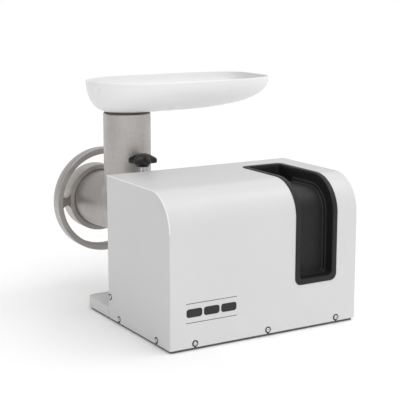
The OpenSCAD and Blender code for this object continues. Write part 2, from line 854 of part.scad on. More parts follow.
module inlet_screws() {
    color("silver") place() for (s = [-20, 20]) {
        rod_y(1.5, back_0 - 3, back_1 + 2.6, inlet_x + s, inlet_z);
        rod_y(2.8, back_1 + 2.5, back_1 + 4, inlet_x + s, inlet_z);
    }
}

// ---------------------------------------------------------------- head

module head_casting() {
    color([0.66, 0.64, 0.62]) place() difference() {
        union() {
            turned_y([
                [0, neck_0], [neck_r - 1, neck_0], [neck_r, neck_0 + 1], [neck_r, socket_1 + 0.5],
                [44, socket_1 + 0.5], [48.5, socket_1 + 5], [49, hub_0 - 62],
                [thread_r - 1.5, hub_0 - 8], [thread_r, hub_0 - 4], [thread_r, barrel_1], [0, barrel_1]
            ], out_x, out_z);
            rod_z(pipe_r, out_z, pipe_top, out_x, pipe_y);
        }
        rod_y(barrel_r, barrel_0, barrel_1, out_x, out_z);
        rod_y(plate_r + 0.2, seat_0, barrel_1 + cut, out_x, out_z);
        rod_y(18 + press_gap, neck_0 - cut, barrel_1, out_x, out_z);
        rod_z(throat_r, out_z, pipe_top + cut, out_x, pipe_y);
        rod_y(2 + press_gap, seat_0 - 10, seat_0 + cut, out_x, out_z + 47.5);
    }
}

module auger_bush() {
    color([0.7, 0.5, 0.25]) place()
        tube_y(13 + fit_gap, 18, neck_0 + 1.5, barrel_0, out_x, out_z);
}

module thrust_washer() {
    color([0.7, 0.5, 0.25]) place()
        tube_y(13.5, 24, barrel_0, barrel_0 + 2, out_x, out_z);
}

module plate_pin() {
    color("silver") place() rod_y(2, seat_0 - 9.5, barrel_1 - 1, out_x, out_z + 47.5);
}

auger_0 = barrel_0 + 2.2;
auger_1 = plate_0 - 9.5;
worm_pitch = 48;

// The worm's flight, a sector of a disc drawn out with a twist
module worm(len) {
    sector = 45;
    r = barrel_r - 0.8;
    linear_extrude(len, twist = len / worm_pitch * 360, slices = 64, segments = 10)
        polygon(concat([[0, 0]], [for (i = [0:5]) r * [cos(i * sector / 5), sin(i * sector / 5)]]));
}

module auger() {
    color([0.6, 0.6, 0.6]) place() {
        turned_y([
            [0, seal_1 + 0.3], [13, seal_1 + 0.3], [13, auger_0], [20, auger_0], [20, auger_0 + 3],
            [15.5, auger_1 - 10], [15.5, auger_1], [0, auger_1]
        ], out_x, out_z);
        box([out_x - 7.95, seal_1 - 17, out_z - 7.95], [out_x + 7.95, neck_0, out_z + 7.95]);
        box([out_x - 6, auger_1 - cut, out_z - 6], [out_x + 6, plate_0 - 0.2, out_z + 6]);
        rod_y(5, plate_0 - 1, plate_1 - 0.5, out_x, out_z);
        translate([out_x, auger_0 + 2, out_z]) rotate([-90, 0, 0]) worm(auger_1 - auger_0 - 3);
    }
}

module knife() {
    y0 = plate_0 - 8.6;
    y1 = plate_0 - 0.4;
    color([0.72, 0.72, 0.74]) place() difference() {
        union() {
            rod_y(13, y0, y1, out_x, out_z);
            for (a = [0:90:270]) translate([out_x, 0, out_z]) rotate([0, a, 0])
                along_y(y0, y1) polygon([[8, -6], [41, -3], [42, 3], [41, 5], [8, 7]]);
        }
        box([out_x - 6.1, y0 - cut, out_z - 6.1], [out_x + 6.1, y1 + cut, out_z + 6.1]);
    }
}

module grinder_plate() {
    color([0.7, 0.7, 0.72]) place() difference() {
        rod_y(plate_r, plate_0, plate_1, out_x, out_z);
        rod_y(5 + fit_gap, plate_0 - cut, plate_1 + cut, out_x, out_z);
        for (k = [1:hole_rings], i = [0:6 * k - 1])
            rod_y(hole_r, plate_0 - cut, plate_1 + cut,
                out_x + (4 + 11 * k) * cos(i * 60 / k), out_z + (4 + 11 * k) * sin(i * 60 / k));
        rod_y(2.4, plate_0 - cut, barrel_1 - 0.5, out_x, out_z + 47.5);
        box([out_x - 2.4, plate_0 - cut, out_z + 47.5], [out_x + 2.4, barrel_1 - 0.5, out_z + 52]);
    }
}

module ring_nut() {
    color([0.64, 0.62, 0.6]) place() {
        turned_y([
            [thread_r + 1.2, hub_0], [hub_r - 0.6, hub_0], [hub_r, hub_0 + 0.6], [hub_r, ring_front - 3],
            [hub_r - 3, ring_front], [47, ring_front], [46, ring_front - 1], [46, plate_1 + 0.1],
            [thread_r + 0.4, plate_1 + 0.1], [thread_r + 0.4, hub_0 + 0.8]
        ], out_x, out_z);
        turned_y([
            [hoop_r - hoop_w, hub_0 - 22.6], [hoop_r - 2, hub_0 - 22.6], [hoop_r, hub_0 - 20.6],
            [hoop_r, hub_0 - 24.6 + hoop_t], [hoop_r - 2, hub_0 - 22.6 + hoop_t],
            [hoop_r - hoop_w, hub_0 - 22.6 + hoop_t]
        ], out_x, out_z);
        for (i = [0:spokes - 1]) translate([out_x, 0, out_z]) rotate([0, i * 360 / spokes, 0])
            translate([0, 0, -8]) linear_extrude(16) polygon([
                [-hub_r + 1, hub_0 + 0.5], [-hub_r + 1, hub_0 + 18],
                [hoop_w - hoop_r - 1, hub_0 - 23.6 + hoop_t], [hoop_w - hoop_r - 1, hub_0 - 21.6]
            ]);
    }
}

// ---------------------------------------------------------------- tray

tray_floor = pipe_top + 3.4;
tray_x0 = head_in - 70.5;
tray_depth = tray_top - tray_floor;
// Where the tray's round end meets its long end, and how far each way draws in at the floor
tray_mid = tray_x0 + 109;
draw_left = 34;
draw_right = 215;
draw_side = 58;

// Share of the draw-in at depth u, from 0 at the rim to 1 at the floor
function draw(u, p) = 1 - pow(1 - pow(u, p), 1 / p);

// Half of a flattened ellipse's power law, with the sign kept
function power(v, n) = sign(v) * pow(abs(v), 2 / n);

// Plan of the tray at depth u, drawn in by a wall of w
function tray_ring(u, w) =
    let (
        left = tray_mid - tray_x0 - w - draw_left * draw(u, 2.2),
        right = tray_x0 + tray_l - tray_mid - w - draw_right * draw(u, 2.5),
        half = tray_w / 2 - w - draw_side * draw(u, 2.2)
    )
    [for (a = [0:6:354])
        [
            tray_mid + (cos(a) < 0 ? left : right) * power(cos(a), cos(a) < 0 ? 2.1 : 4.6),
            pipe_y + half * power(sin(a), cos(a) < 0 ? 2.1 : 4.6)
        ]];

module tray_body(w, lift) {
    hull() for (u = [0, 0.3, 0.55, 0.75, 0.88, 0.96, 1])
        translate([0, 0, tray_top - tray_depth * u + lift * u]) linear_extrude(0.1)
            polygon(tray_ring(u, w));
}

module feed_tray() {
    color("whitesmoke") place() difference() {
        union() {
            difference() {
                tray_body(0, 0);
                translate([0, 0, 0.1]) tray_body(tray_t, tray_t);
            }
            rod_z(throat_r - 0.5, pipe_top - 15, tray_floor + 1, out_x, pipe_y);
        }
        rod_z(spigot_r, pipe_top - 20, tray_floor + 10, out_x, pipe_y);
    }
}

module tray_gasket() {
    color([0.12, 0.12, 0.12]) place() difference() {
        rod_z(pipe_r - 1.6, pipe_top, tray_floor, out_x, pipe_y);
        rod_z(throat_r - 0.45, pipe_top - cut, tray_floor + cut, out_x, pipe_y);
    }
}

// ---------------------------------------------------------------- clamp

// A star knob: lobes round a disc, cut to a sloping top, on a short skirt
module clamp_knob() {
    lobe_r = 5.4;
    skirt = 6;
    top = 22;
    color([0.15, 0.15, 0.15]) place() difference() {
        translate([clamp_x, clamp_y, knob_z]) union() {
            cylinder(r1 = 11.2, r2 = 12, h = skirt + 1);
            intersection() {
                rotate_extrude() polygon([
                    [0, skirt], [knob_r - 1, skirt], [knob_r, skirt + 1], [knob_r, skirt + 7],
                    [knob_r - 1.5, skirt + 8.4], [10, top], [0, top]
                ]);
                union() {
                    cylinder(r = 17.5, h = top);
                    for (i = [0:knob_lobes - 1]) rotate([0, 0, (i + 0.5) * 360 / knob_lobes])
                        translate([knob_r - lobe_r, 0, 0]) cylinder(r = lobe_r, h = top);
                }
            }
        }
        rod_z(stud_r + press_gap, knob_z - cut, knob_z + 16, clamp_x, clamp_y);
    }
}

module clamp_stud() {
    color("silver") place() rod_z(stud_r, pad_z + 5, knob_z + 15.9, clamp_x, clamp_y);
}

module clamp_pad() {
    color([0.75, 0.6, 0.3]) place() difference() {
        rod_z(7.2, pad_z - 5, pad_z + 5, clamp_x, clamp_y);
        rod_y(neck_r + 0.1, clamp_y - 20, clamp_y + 20, out_x, out_z);
    }
}

base_plate();
rubber_feet();
foot_screws();
housing_cover();
cover_screws();
back_plate();
back_screws();
earth_stud();
handle_insert();
head_socket();
socket_bolts();
shaft_seal();
gearbox_case();
gearbox_cover();
gearbox_bolts();
output_bearings();
output_shaft();
output_gear();
output_key();
lay_bearings();
lay_shaft();
lay_gear();
motor_shell();
front_bell();
rear_bell();
stator_core();
stator_windings();
motor_bearings();
motor_shaft();
rotor_core();
cooling_fan();
motor_cradle();
run_capacitor();
capacitor_clip();
terminal_block();
wiring();
switch_body();
switch_bezel();
start_button();
stop_button();
power_inlet();
inlet_pins();
inlet_screws();
head_casting();
auger_bush();
thrust_washer();
plate_pin();
auger();
knife();
grinder_plate();
ring_nut();
feed_tray();
tray_gasket();
clamp_knob();
clamp_stud();
clamp_pad();
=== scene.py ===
import json
from math import atan2, cos, pi, radians, sin, tau

import bmesh
import bpy
import numpy as np
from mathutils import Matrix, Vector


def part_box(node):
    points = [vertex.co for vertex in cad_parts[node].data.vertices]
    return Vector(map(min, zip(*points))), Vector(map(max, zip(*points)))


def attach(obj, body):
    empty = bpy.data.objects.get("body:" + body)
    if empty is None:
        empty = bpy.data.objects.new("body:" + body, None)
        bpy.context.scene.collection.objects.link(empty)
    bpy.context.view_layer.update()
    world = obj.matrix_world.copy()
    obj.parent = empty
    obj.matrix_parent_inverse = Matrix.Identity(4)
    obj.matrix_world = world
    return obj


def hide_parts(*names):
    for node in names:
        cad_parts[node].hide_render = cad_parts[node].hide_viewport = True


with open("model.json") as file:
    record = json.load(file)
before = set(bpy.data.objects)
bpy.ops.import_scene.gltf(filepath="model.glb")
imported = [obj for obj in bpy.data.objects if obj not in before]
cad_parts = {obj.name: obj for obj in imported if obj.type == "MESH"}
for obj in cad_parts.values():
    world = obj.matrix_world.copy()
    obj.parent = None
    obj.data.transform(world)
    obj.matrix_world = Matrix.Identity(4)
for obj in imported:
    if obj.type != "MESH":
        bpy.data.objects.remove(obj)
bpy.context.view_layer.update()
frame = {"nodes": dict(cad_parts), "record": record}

# Sizes below are in millimetres from the housing's own corner: X from its left end,
# Y from its front, Z from the underside of the base. at() turns them into metres.
MM = 0.001
cover_low, cover_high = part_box("housing_cover")
HOUSING = [(cover_high[k] - cover_low[k]) / MM for k in range(3)]
HOUSING_L, HOUSING_W, HOUSING_H = HOUSING
BEND = 61
SHEET = 2
HEAD_X = 84.5
HEAD_Z = 170
PIPE_Y = HOUSING_W + 87
PIPE_R = 42.3
PIPE_TOP = 342.6
RING_FRONT = HOUSING_W + 234
HUB_BACK = RING_FRONT - 33.4
BACK = HOUSING_W - SHEET


def at(points):
    """Points in millimetres from the housing's corner, as metres in the row frame."""
    return np.asarray(points, float) * MM + np.array(cover_low)


# ------------------------------------------------------------------ mesh helpers

def placed(name, data):
    """A new object in the scene for a mesh or a camera."""
    obj = bpy.data.objects.new(name, data)
    bpy.context.scene.collection.objects.link(obj)
    return obj


def mesh_object(name, points, faces, material, smooth=True):
    mesh = bpy.data.meshes.new(name)
    mesh.from_pydata([tuple(p) for p in at(points)], [], [tuple(int(i) for i in f) for f in faces])
    mesh.update()
    mesh.materials.append(material)
    obj = placed(name, mesh)
    tidy_mesh(obj, smooth)
    return obj


def tidy_mesh(obj, smooth=True):
    """Joins doubled points, turns faces outwards and sets smooth shading."""
    work = bmesh.new()
    work.from_mesh(obj.data)
    bmesh.ops.remove_doubles(work, verts=work.verts, dist=0.00001)
    bmesh.ops.recalc_face_normals(work, faces=work.faces)
    for face in work.faces:
        face.smooth = smooth
    work.to_mesh(obj.data)
    work.free()


def apply_modifiers(obj):
    depsgraph = bpy.context.evaluated_depsgraph_get()
    mesh = bpy.data.meshes.new_from_object(obj.evaluated_get(depsgraph))
    obj.modifiers.clear()
    obj.data = mesh


def bevel(obj, width, segments=3, angle=35):
    """Rounds every edge sharper than angle degrees."""
    mod = obj.modifiers.new("edges", "BEVEL")
    mod.width = width * MM
    mod.segments = segments
    mod.limit_method = "ANGLE"
    mod.angle_limit = radians(angle)
    mod.harden_normals = False
    mod.use_clamp_overlap = True
    apply_modifiers(obj)


def boolean(obj, other, operation="DIFFERENCE"):
    mod = obj.modifiers.new("cut", "BOOLEAN")
    mod.object = other
    mod.operation = operation
    mod.solver = "EXACT"
    apply_modifiers(obj)
    bpy.data.objects.remove(other)


def shade_by_angle(obj, angle=32):
    """Smooth shading with a crease at every edge sharper than angle degrees."""
    work = bmesh.new()
    work.from_mesh(obj.data)
    for face in work.faces:
        face.smooth = True
    for edge in work.edges:
        if len(edge.link_faces) == 2:
            edge.smooth = edge.calc_face_angle(0) < radians(angle)
    work.to_mesh(obj.data)
    work.free()


def rounded(points, radius, steps=5):
    """A closed outline with each corner turned into an arc. radius is one number or one per corner."""
    points = [np.array(p, float) for p in points]
    radii = radius if isinstance(radius, (list, tuple)) else [radius] * len(points)
    out = []
    for i, p in enumerate(points):
        a, b = points[i - 1] - p, points[(i + 1) % len(points)] - p
        la, lb = np.linalg.norm(a), np.linalg.norm(b)
        a, b = a / la, b / lb
        half = np.arccos(np.clip(a @ b, -1, 1)) / 2
        if radii[i] <= 0 or half > pi / 2 - 0.02:
            out.append(p)
            continue
        run = min(radii[i] / np.tan(half), 0.48 * la, 0.48 * lb)
        r = run * np.tan(half)
        mid = p + (a + b) / np.linalg.norm(a + b) * r / sin(half)
        start, end = p + a * run - mid, p + b * run - mid
        turn = atan2(start[0] * end[1] - start[1] * end[0], start @ end)
        for k in range(steps + 1):
            t = turn * k / steps
            turned_x = start[0] * cos(t) - start[1] * sin(t)
            turned_y = start[0] * sin(t) + start[1] * cos(t)
            out.append(mid + np.array([turned_x, turned_y]))
    return out


def turned(name, outline, material, axis="Y", centre=(0, 0, 0), steps=96):
    """A body of revolution from a closed outline of [radius, height] points."""
    n = len(outline)
    points, faces = [], []
    for j in range(steps):
        a = tau * j / steps
        for r, h in outline:
            r = max(r, 0)
            u, v = r * cos(a), r * sin(a)
            p = {"X": (h, u, v), "Y": (u, h, v), "Z": (u, v, h)}[axis]
            points.append(np.array(p) + centre)
    for j in range(steps):
        for i in range(n):
            k, m = (i + 1) % n, (j + 1) % steps
            faces.append((j * n + i, j * n + k, m * n + k, m * n + i))
    obj = mesh_object(name, points, faces, material)
    work = bmesh.new()
    work.from_mesh(obj.data)
    bmesh.ops.dissolve_degenerate(work, edges=work.edges, dist=0.000005)
    bmesh.ops.recalc_face_normals(work, faces=work.faces)
    work.to_mesh(obj.data)
    work.free()
    return obj


def join(name, objects):
    """One piece from several closed bodies."""
    work = bmesh.new()
    for obj in objects:
        work.from_mesh(obj.data)
    mesh = bpy.data.meshes.new(name)
    work.to_mesh(mesh)
    work.free()
    for material in objects[0].data.materials:
        mesh.materials.append(material)
    for obj in objects:
        bpy.data.objects.remove(obj)
    return placed(name, mesh)


def box_solid(name, low, high):
    """A plain block, used as a cutter."""
    x, y, z = zip(low, high)
    points = [(a, b, c) for a in x for b in y for c in z]
    faces = [(0, 1, 3, 2), (4, 6, 7, 5), (0, 4, 5, 1), (2, 3, 7, 6), (0, 2, 6, 4), (1, 5, 7, 3)]
    return mesh_object(name, points, faces, plain, smooth=False)


def prism(name, outline, axis, start, end, material, smooth=False):
    """A closed outline in the two other axes, made solid from start to end along axis."""
    place = {
        "X": lambda u, v, w: (w, u, v),
        "Y": lambda u, v, w: (u, w, v),
        "Z": lambda u, v, w: (u, v, w),
    }[axis]
    n = len(outline)
    points = [place(p[0], p[1], w) for w in (start, end) for p in outline]
    faces = [tuple(range(n)), tuple(range(2 * n - 1, n - 1, -1))]
    faces += [(i, (i + 1) % n, n + (i + 1) % n, n + i) for i in range(n)]
    return mesh_object(name, points, faces, material, smooth)


def implicit(name, field, low, high, step, material, relax=3):
    """The surface where field is zero: one point in each grid cell that it crosses, pulled onto it."""
    low, high = np.array(low, float), np.array(high, float)
    count = np.ceil((high - low) / step).astype(int) + 1
    axes = [low[k] + step * np.arange(count[k]) for k in range(3)]
    values = field(*np.meshgrid(*axes, indexing="ij"))
    inside = values < 0
    cells = np.zeros(count - 1, int)
    for dx in (0, 1):
        for dy in (0, 1):
            for dz in (0, 1):
                cells += inside[dx:count[0] - 1 + dx, dy:count[1] - 1 + dy, dz:count[2] - 1 + dz]
    crossed = (cells > 0) & (cells < 8)
    index = -np.ones(crossed.shape, int)
    where = np.argwhere(crossed)
    index[crossed] = np.arange(len(where))
    points = low + step * (where + 0.5)
    faces = []
    for k in range(3):
        a, b = (k + 1) % 3, (k + 2) % 3
        near = np.take(inside, range(count[k] - 1), axis=k)
        far = np.take(inside, range(1, count[k]), axis=k)
        for flip in (False, True):
            edge = (near & ~far) if not flip else (far & ~near)
            e = np.argwhere(edge)
            e = e[(e[:, a] > 0) & (e[:, b] > 0) & (e[:, a] < count[a] - 1) & (e[:, b] < count[b] - 1)]
            ring = []
            for da, db in ((0, 0), (1, 0), (1, 1), (0, 1)):
                c = e.copy()
                c[:, a] -= da
                c[:, b] -= db
                ring.append(index[c[:, 0], c[:, 1], c[:, 2]])
            ring = np.stack(ring, 1)
            faces.append(ring[:, ::-1] if flip else ring)
    faces = np.concatenate(faces)
    h = 0.05

    def gradient(p):
        shifts = h * np.eye(3)
        return np.stack([(field(*(p + d).T) - field(*(p - d).T)) / (2 * h) for d in shifts], 1)

    sides = np.concatenate([faces[:, [k, (k + 1) % 4]] for k in range(4)])
    edges = np.unique(np.sort(sides, 1), axis=0)
    for turn in range(relax + 3):
        if turn < relax:
            total = np.zeros_like(points)
            near = np.zeros(len(points))
            for i, j in ((0, 1), (1, 0)):
                np.add.at(total, edges[:, i], points[edges[:, j]])
                np.add.at(near, edges[:, i], 1)
            points = 0.5 * points + 0.5 * total / near[:, None]
        g = gradient(points)
        size = np.maximum((g * g).sum(1), 0.05)
        move = (field(*points.T) / size)[:, None] * g
        length = np.linalg.norm(move, axis=1, keepdims=True)
        points = points - move * np.minimum(1, step / np.maximum(length, 1e-9))
    return mesh_object(name, points, faces, material)


def blend_in(a, b, r):
    """Distance to two bodies joined with a fillet of about radius r."""
    h = np.clip(0.5 + 0.5 * (b - a) / r, 0, 1)
    return b * (1 - h) + a * h - r * h * (1 - h)


def cut_out(a, b, r):
    """Distance to a with b cut out of it, its edges rounded by about r."""
    return -blend_in(-a, b, r)


def rod(u, v, w, radius, low, high, edge):
    """Distance to a round bar along w, its edges rounded."""
    radial = np.sqrt(u * u + v * v) - radius + edge
    along = np.maximum(low + edge - w, w - high + edge)
    outside = np.sqrt(np.maximum(radial, 0) ** 2 + np.maximum(along, 0) ** 2)
    return np.minimum(np.maximum(radial, along), 0) + outside - edge


def eased_copy(node, width, material, angle=35, segments=2):
    """A copy of a CAD node with its flat faces joined up and its edges rounded."""
    mesh = frame["nodes"][node].data.copy()
    obj = placed(node + "_eased", mesh)
    mesh.materials.clear()
    mesh.materials.append(material)
    work = bmesh.new()
    work.from_mesh(mesh)
    bmesh.ops.remove_doubles(work, verts=work.verts, dist=0.000004)
    bmesh.ops.dissolve_limit(work, angle_limit=radians(0.5), verts=work.verts, edges=work.edges)
    bmesh.ops.recalc_face_normals(work, faces=work.faces)
    work.to_mesh(mesh)
    work.free()
    bevel(obj, width, segments, angle)
    shade_by_angle(obj, 40)
    return obj


def stand_for(piece, body, slot, *nodes):
    """The piece rides on a body and hides the CAD nodes; slot is not used."""
    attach(piece, body)
    if nodes:
        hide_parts(*nodes)
    return piece


# ------------------------------------------------------------------ materials

class Nodes:
    """A short way to write a node material."""

    def __init__(self, name):
        self.material = bpy.data.materials.new(name)
        self.material.use_nodes = True
        self.tree = self.material.node_tree
        self.shader = self.tree.nodes["Principled BSDF"]
        self.place = self.tree.nodes.new("ShaderNodeTexCoord").outputs["Object"]

    def set(self, **values):
        for key, value in values.items():
            socket = self.shader.inputs[key.replace("_", " ")]
            socket.default_value = (*value, 1) if isinstance(value, tuple) else value
        return self

    def noise(self, scale, detail=4, roughness=0.5, stretch=(1, 1, 1)):
        mapping = self.tree.nodes.new("ShaderNodeMapping")
        mapping.inputs["Scale"].default_value = stretch
        self.tree.links.new(self.place, mapping.inputs["Vector"])
        noise = self.tree.nodes.new("ShaderNodeTexNoise")
        noise.inputs["Scale"].default_value = scale
        noise.inputs["Detail"].default_value = detail
        noise.inputs["Roughness"].default_value = roughness
        self.tree.links.new(mapping.outputs[0], noise.inputs["Vector"])
        return noise.outputs["Fac"]

    def remap(self, value, low, high, start=0.3, end=0.7):
        node = self.tree.nodes.new("ShaderNodeMapRange")
        for key, number in (("From Min", start), ("From Max", end), ("To Min", low), ("To Max", high)):
            node.inputs[key].default_value = number
        self.tree.links.new(value, node.inputs["Value"])
        return node.outputs["Result"]

    def mix(self, factor, first, second):
        node = self.tree.nodes.new("ShaderNodeMix")
        node.data_type = "RGBA"
        for key, colour in ((6, first), (7, second)):
            if isinstance(colour, tuple):
                node.inputs[key].default_value = (*colour, 1)
            else:
                self.tree.links.new(colour, node.inputs[key])
        self.tree.links.new(factor, node.inputs[0])
        return node.outputs[2]

    def edges(self, low=0.5, high=0.62):
        """High where the surface turns a convex edge."""
        geometry = self.tree.nodes.new("ShaderNodeNewGeometry")
        return self.remap(geometry.outputs["Pointiness"], 0, 1, low, high)

    def drive(self, **outputs):
        for key, output in outputs.items():
            self.tree.links.new(output, self.shader.inputs[key.replace("_", " ")])
        return self

    def bump(self, height, strength, distance):
        node = self.tree.nodes.new("ShaderNodeBump")
        node.inputs["Strength"].default_value = strength
        node.inputs["Distance"].default_value = distance * MM
        self.tree.links.new(height, node.inputs["Height"])
        previous = self.shader.inputs["Normal"]
        if previous.is_linked:
            self.tree.links.new(previous.links[0].from_socket, node.inputs["Normal"])
        self.tree.links.new(node.outputs["Normal"], previous)
        return self


def shade(colour, factor):
    return tuple(min(1, c * factor) for c in colour)


def powder_coat(name, colour):
    """Baked paint: a faint orange peel, and very slightly uneven gloss."""
    m = Nodes(name)
    m.set(Roughness=0.38, IOR=1.5, Coat_Weight=0.15, Coat_Roughness=0.2)
    cloud = m.noise(9, 3)
    m.drive(
        Base_Color=m.mix(m.remap(cloud, 0, 1), shade(colour, 0.985), shade(colour, 1.01)),
        Roughness=m.remap(m.noise(60, 5), 0.34, 0.43),
    )
    m.bump(m.noise(700, 3), 0.10, 0.05)
    m.bump(m.noise(2600, 2), 0.05, 0.02)
    return m.material


def cast_metal(name, colour, roughness=0.5, grain=1.0):
    """Blasted stainless casting: fine grain, cloudy tone, and convex edges lightened as rubbed wear and as a
    painted edge highlight.
    """
    m = Nodes(name)
    m.set(Metallic=1.0)
    cloud = m.noise(26, 6, 0.62)
    fine = m.noise(900, 4, 0.6)
    tone = m.mix(m.remap(cloud, 0, 1, 0.32, 0.68), shade(colour, 0.90), shade(colour, 1.06))
    speck = m.mix(m.remap(fine, 0, 1, 0.35, 0.65), shade(colour, 0.82), shade(colour, 1.08))
    both = m.mix(m.remap(m.noise(400, 2), 0.25, 0.6), tone, speck)
    for stretch in ((0.03, 1, 0.03), (0.03, 0.03, 1)):
        rubbed = m.remap(m.noise(1100, 2, 0.6, stretch), 0, 0.28, 0.4, 0.7)
        both = m.mix(rubbed, both, shade(colour, 0.72))
    # Convex edges mix towards a lighter tone: partly rubbed wear, partly a painted highlight.
    m.drive(
        Base_Color=m.mix(m.edges(), both, shade(colour, 1.25)),
        Roughness=m.remap(m.noise(120, 5, 0.6), roughness - 0.05, roughness + 0.08),
    )
    m.bump(m.noise(55, 4), 0.10 * grain, 0.5)
    m.bump(m.noise(1100, 3), 0.28 * grain, 0.06)
    return m.material


def turned_metal(name, colour, roughness=0.25):
    """Machined or ground steel with fine tool lines and light smears of oil."""
    m = Nodes(name)
    m.set(Metallic=1.0)
    lines = m.noise(260, 3, 0.6, (1, 22, 1))
    m.drive(
        Base_Color=m.mix(m.remap(m.noise(70, 4), 0, 1), shade(colour, 0.88), shade(colour, 1.07)),
        Roughness=m.remap(m.noise(180, 4), roughness - 0.06, roughness + 0.10),
    )
    m.bump(lines, 0.12, 0.03)
    return m.material


def moulded(name, colour, roughness=0.5, texture=900, depth=0.06):
    """Moulded plastic: an even skin with fine spark texture and a hint of flow marks."""
    m = Nodes(name)
    m.set(IOR=1.43)
    m.drive(
        Base_Color=m.mix(m.remap(m.noise(14, 3), 0, 1), shade(colour, 0.93), shade(colour, 1.06)),
        Roughness=m.remap(m.noise(150, 4), roughness - 0.05, roughness + 0.06),
    )
    m.bump(m.noise(texture, 3), 0.22, depth)
    return m.material


def gloss_moulding(name, colour, roughness):
    """Clean glossy plastic with a slow drift of tone and faint handling haze."""
    m = Nodes(name)
    m.set(IOR=1.46)
    m.drive(
        Base_Color=m.mix(m.remap(m.noise(8, 3), 0, 1), shade(colour, 0.985), shade(colour, 1.01)),
        Roughness=m.remap(m.noise(24, 4), roughness - 0.03, roughness + 0.06),
    )
    return m.material


def rubber_skin(name, colour):
    m = Nodes(name)
    m.set(IOR=1.5)
    m.drive(
        Base_Color=m.mix(m.remap(m.noise(90, 5), 0, 1), colour, shade(colour, 2.0)),
        Roughness=m.remap(m.noise(300, 3), 0.68, 0.85),
    )
    m.bump(m.noise(1500, 2), 0.3, 0.05)
    return m.material


def laminated(name, colour):
    """A stack of thin sheet steel, with its layers along Y."""
    m = Nodes(name)
    m.set(Metallic=0.9)
    layers = m.noise(60, 1, 0.4, (0.02, 22, 0.02))
    m.drive(
        Base_Color=m.mix(m.remap(layers, 0, 1), shade(colour, 0.55), shade(colour, 1.25)),
        Roughness=m.remap(m.noise(80, 4), 0.38, 0.55),
    )
    m.bump(layers, 0.5, 0.15)
    return m.material


def wound_copper(name, colour):
    """Lacquered wire laid side by side."""
    m = Nodes(name)
    m.set(Metallic=0.9)
    strands = m.noise(90, 1, 0.4, (1, 14, 1))
    m.drive(
        Base_Color=m.mix(m.remap(strands, 0, 1), shade(colour, 0.5), shade(colour, 1.35)),
        Roughness=m.remap(m.noise(60, 3), 0.25, 0.4),
    )
    m.bump(strands, 0.7, 0.4)
    return m.material


plain = bpy.data.materials.new("cutter")
paint = powder_coat("white_powder_coat", (0.685, 0.685, 0.685))
# A brighter copy of the paint: a painted highlight for the bevels at the ends of the cover.
edge_highlight_paint = powder_coat("white_powder_coat_painted_highlight", (0.93, 0.93, 0.93))
base_paint = powder_coat("base_powder_coat", (0.70, 0.70, 0.70))
tray_white = gloss_moulding("tray_gloss_white", (0.89, 0.89, 0.89), 0.3)
head_metal = cast_metal("head_casting_blasted", (0.595, 0.57, 0.55))
# The ring's casting is a darker copy of the head's: painted shade for the ring face, which lies in shade.
ring_metal = cast_metal("ring_casting_shaded", (0.54, 0.515, 0.495))
grip_black = moulded("grip_textured_black", (0.010, 0.010, 0.0105), 0.52)
knob_black = moulded("knob_moulded_black", (0.010, 0.010, 0.010), 0.36, 600, 0.03)
rubber = rubber_skin("rubber_black", (0.010, 0.010, 0.010))
# A dark colour for the strip under the base: painted shade for the gap between the base and the floor.
shade_strip_dark = rubber_skin("painted_shade_strip", (0.07, 0.07, 0.07))
# The gasket's dark grey is painted shade for the shadowed gap between the tray and the pipe.
gasket_shade_grey = moulded("gasket_shade_grey", (0.085, 0.08, 0.078), 0.6, 500, 0.03)
bright_steel = turned_metal("bright_steel", (0.66, 0.66, 0.67), 0.22)
tool_steel = turned_metal("tool_steel", (0.50, 0.50, 0.51), 0.28)
gear_steel = turned_metal("gear_steel_oiled", (0.36, 0.35, 0.34), 0.2)
case_metal = cast_metal("die_cast_case", (0.58, 0.59, 0.60), 0.5, 1.4)
motor_paint = powder_coat("motor_enamel", (0.06, 0.065, 0.075))
core_steel = laminated("laminated_core", (0.24, 0.24, 0.25))
copper = wound_copper("winding_copper", (0.62, 0.28, 0.12))
bronze = turned_metal("sintered_bronze", (0.52, 0.34, 0.14), 0.4)
brass = turned_metal("bright_brass", (0.72, 0.54, 0.24), 0.25)
green = moulded("button_green", (0.02, 0.22, 0.05), 0.35)
red = moulded("button_red", (0.42, 0.015, 0.012), 0.35)
badge_black = moulded("badge_print", (0.02, 0.02, 0.02), 0.35)
cream = moulded("cream_moulding", (0.62, 0.58, 0.48), 0.45)
sleeve = moulded("wire_sleeve", (0.03, 0.05, 0.20), 0.5)
black_abs = moulded("switch_black", (0.02, 0.02, 0.021), 0.4)

SLOTS = {
    "painted_steel": paint, "base_paint": base_paint, "head_metal": head_metal,
    "ring_metal": ring_metal, "tray_plastic": tray_white, "black_plastic": black_abs,
    "knob_plastic": knob_black, "rubber": rubber, "bright_steel": bright_steel,
    "tool_steel": tool_steel, "gear_steel": gear_steel, "cast_case": case_metal,
    "motor_paint": motor_paint, "core_steel": core_steel, "copper": copper, "bronze": bronze,
    "brass": brass, "green_plastic": green, "red_plastic": red, "cream_plastic": cream,
    "wire_sleeve": sleeve,
}
slot_of = {row["node"]: row["material_slot"] for row in frame["record"]["subparts"]}
for node, obj in frame["nodes"].items():
    obj.data.materials.clear()
    obj.data.materials.append(SLOTS[slot_of[node]])
    shade_by_angle(obj)

# ------------------------------------------------------------------ cover


def side_outline(grow, steps=28):
    """The housing's side outline as [Y, Z] points, grown outwards."""
    r = BEND + grow
    arc = [
        (BEND - r * cos(pi / 2 * k / steps), HOUSING_H - BEND + r * sin(pi / 2 * k / steps))
        for k in range(steps + 1)
    ]
    return [(-grow, 0), *arc, (HOUSING_W + grow, HOUSING_H + grow), (HOUSING_W + grow, 0)]


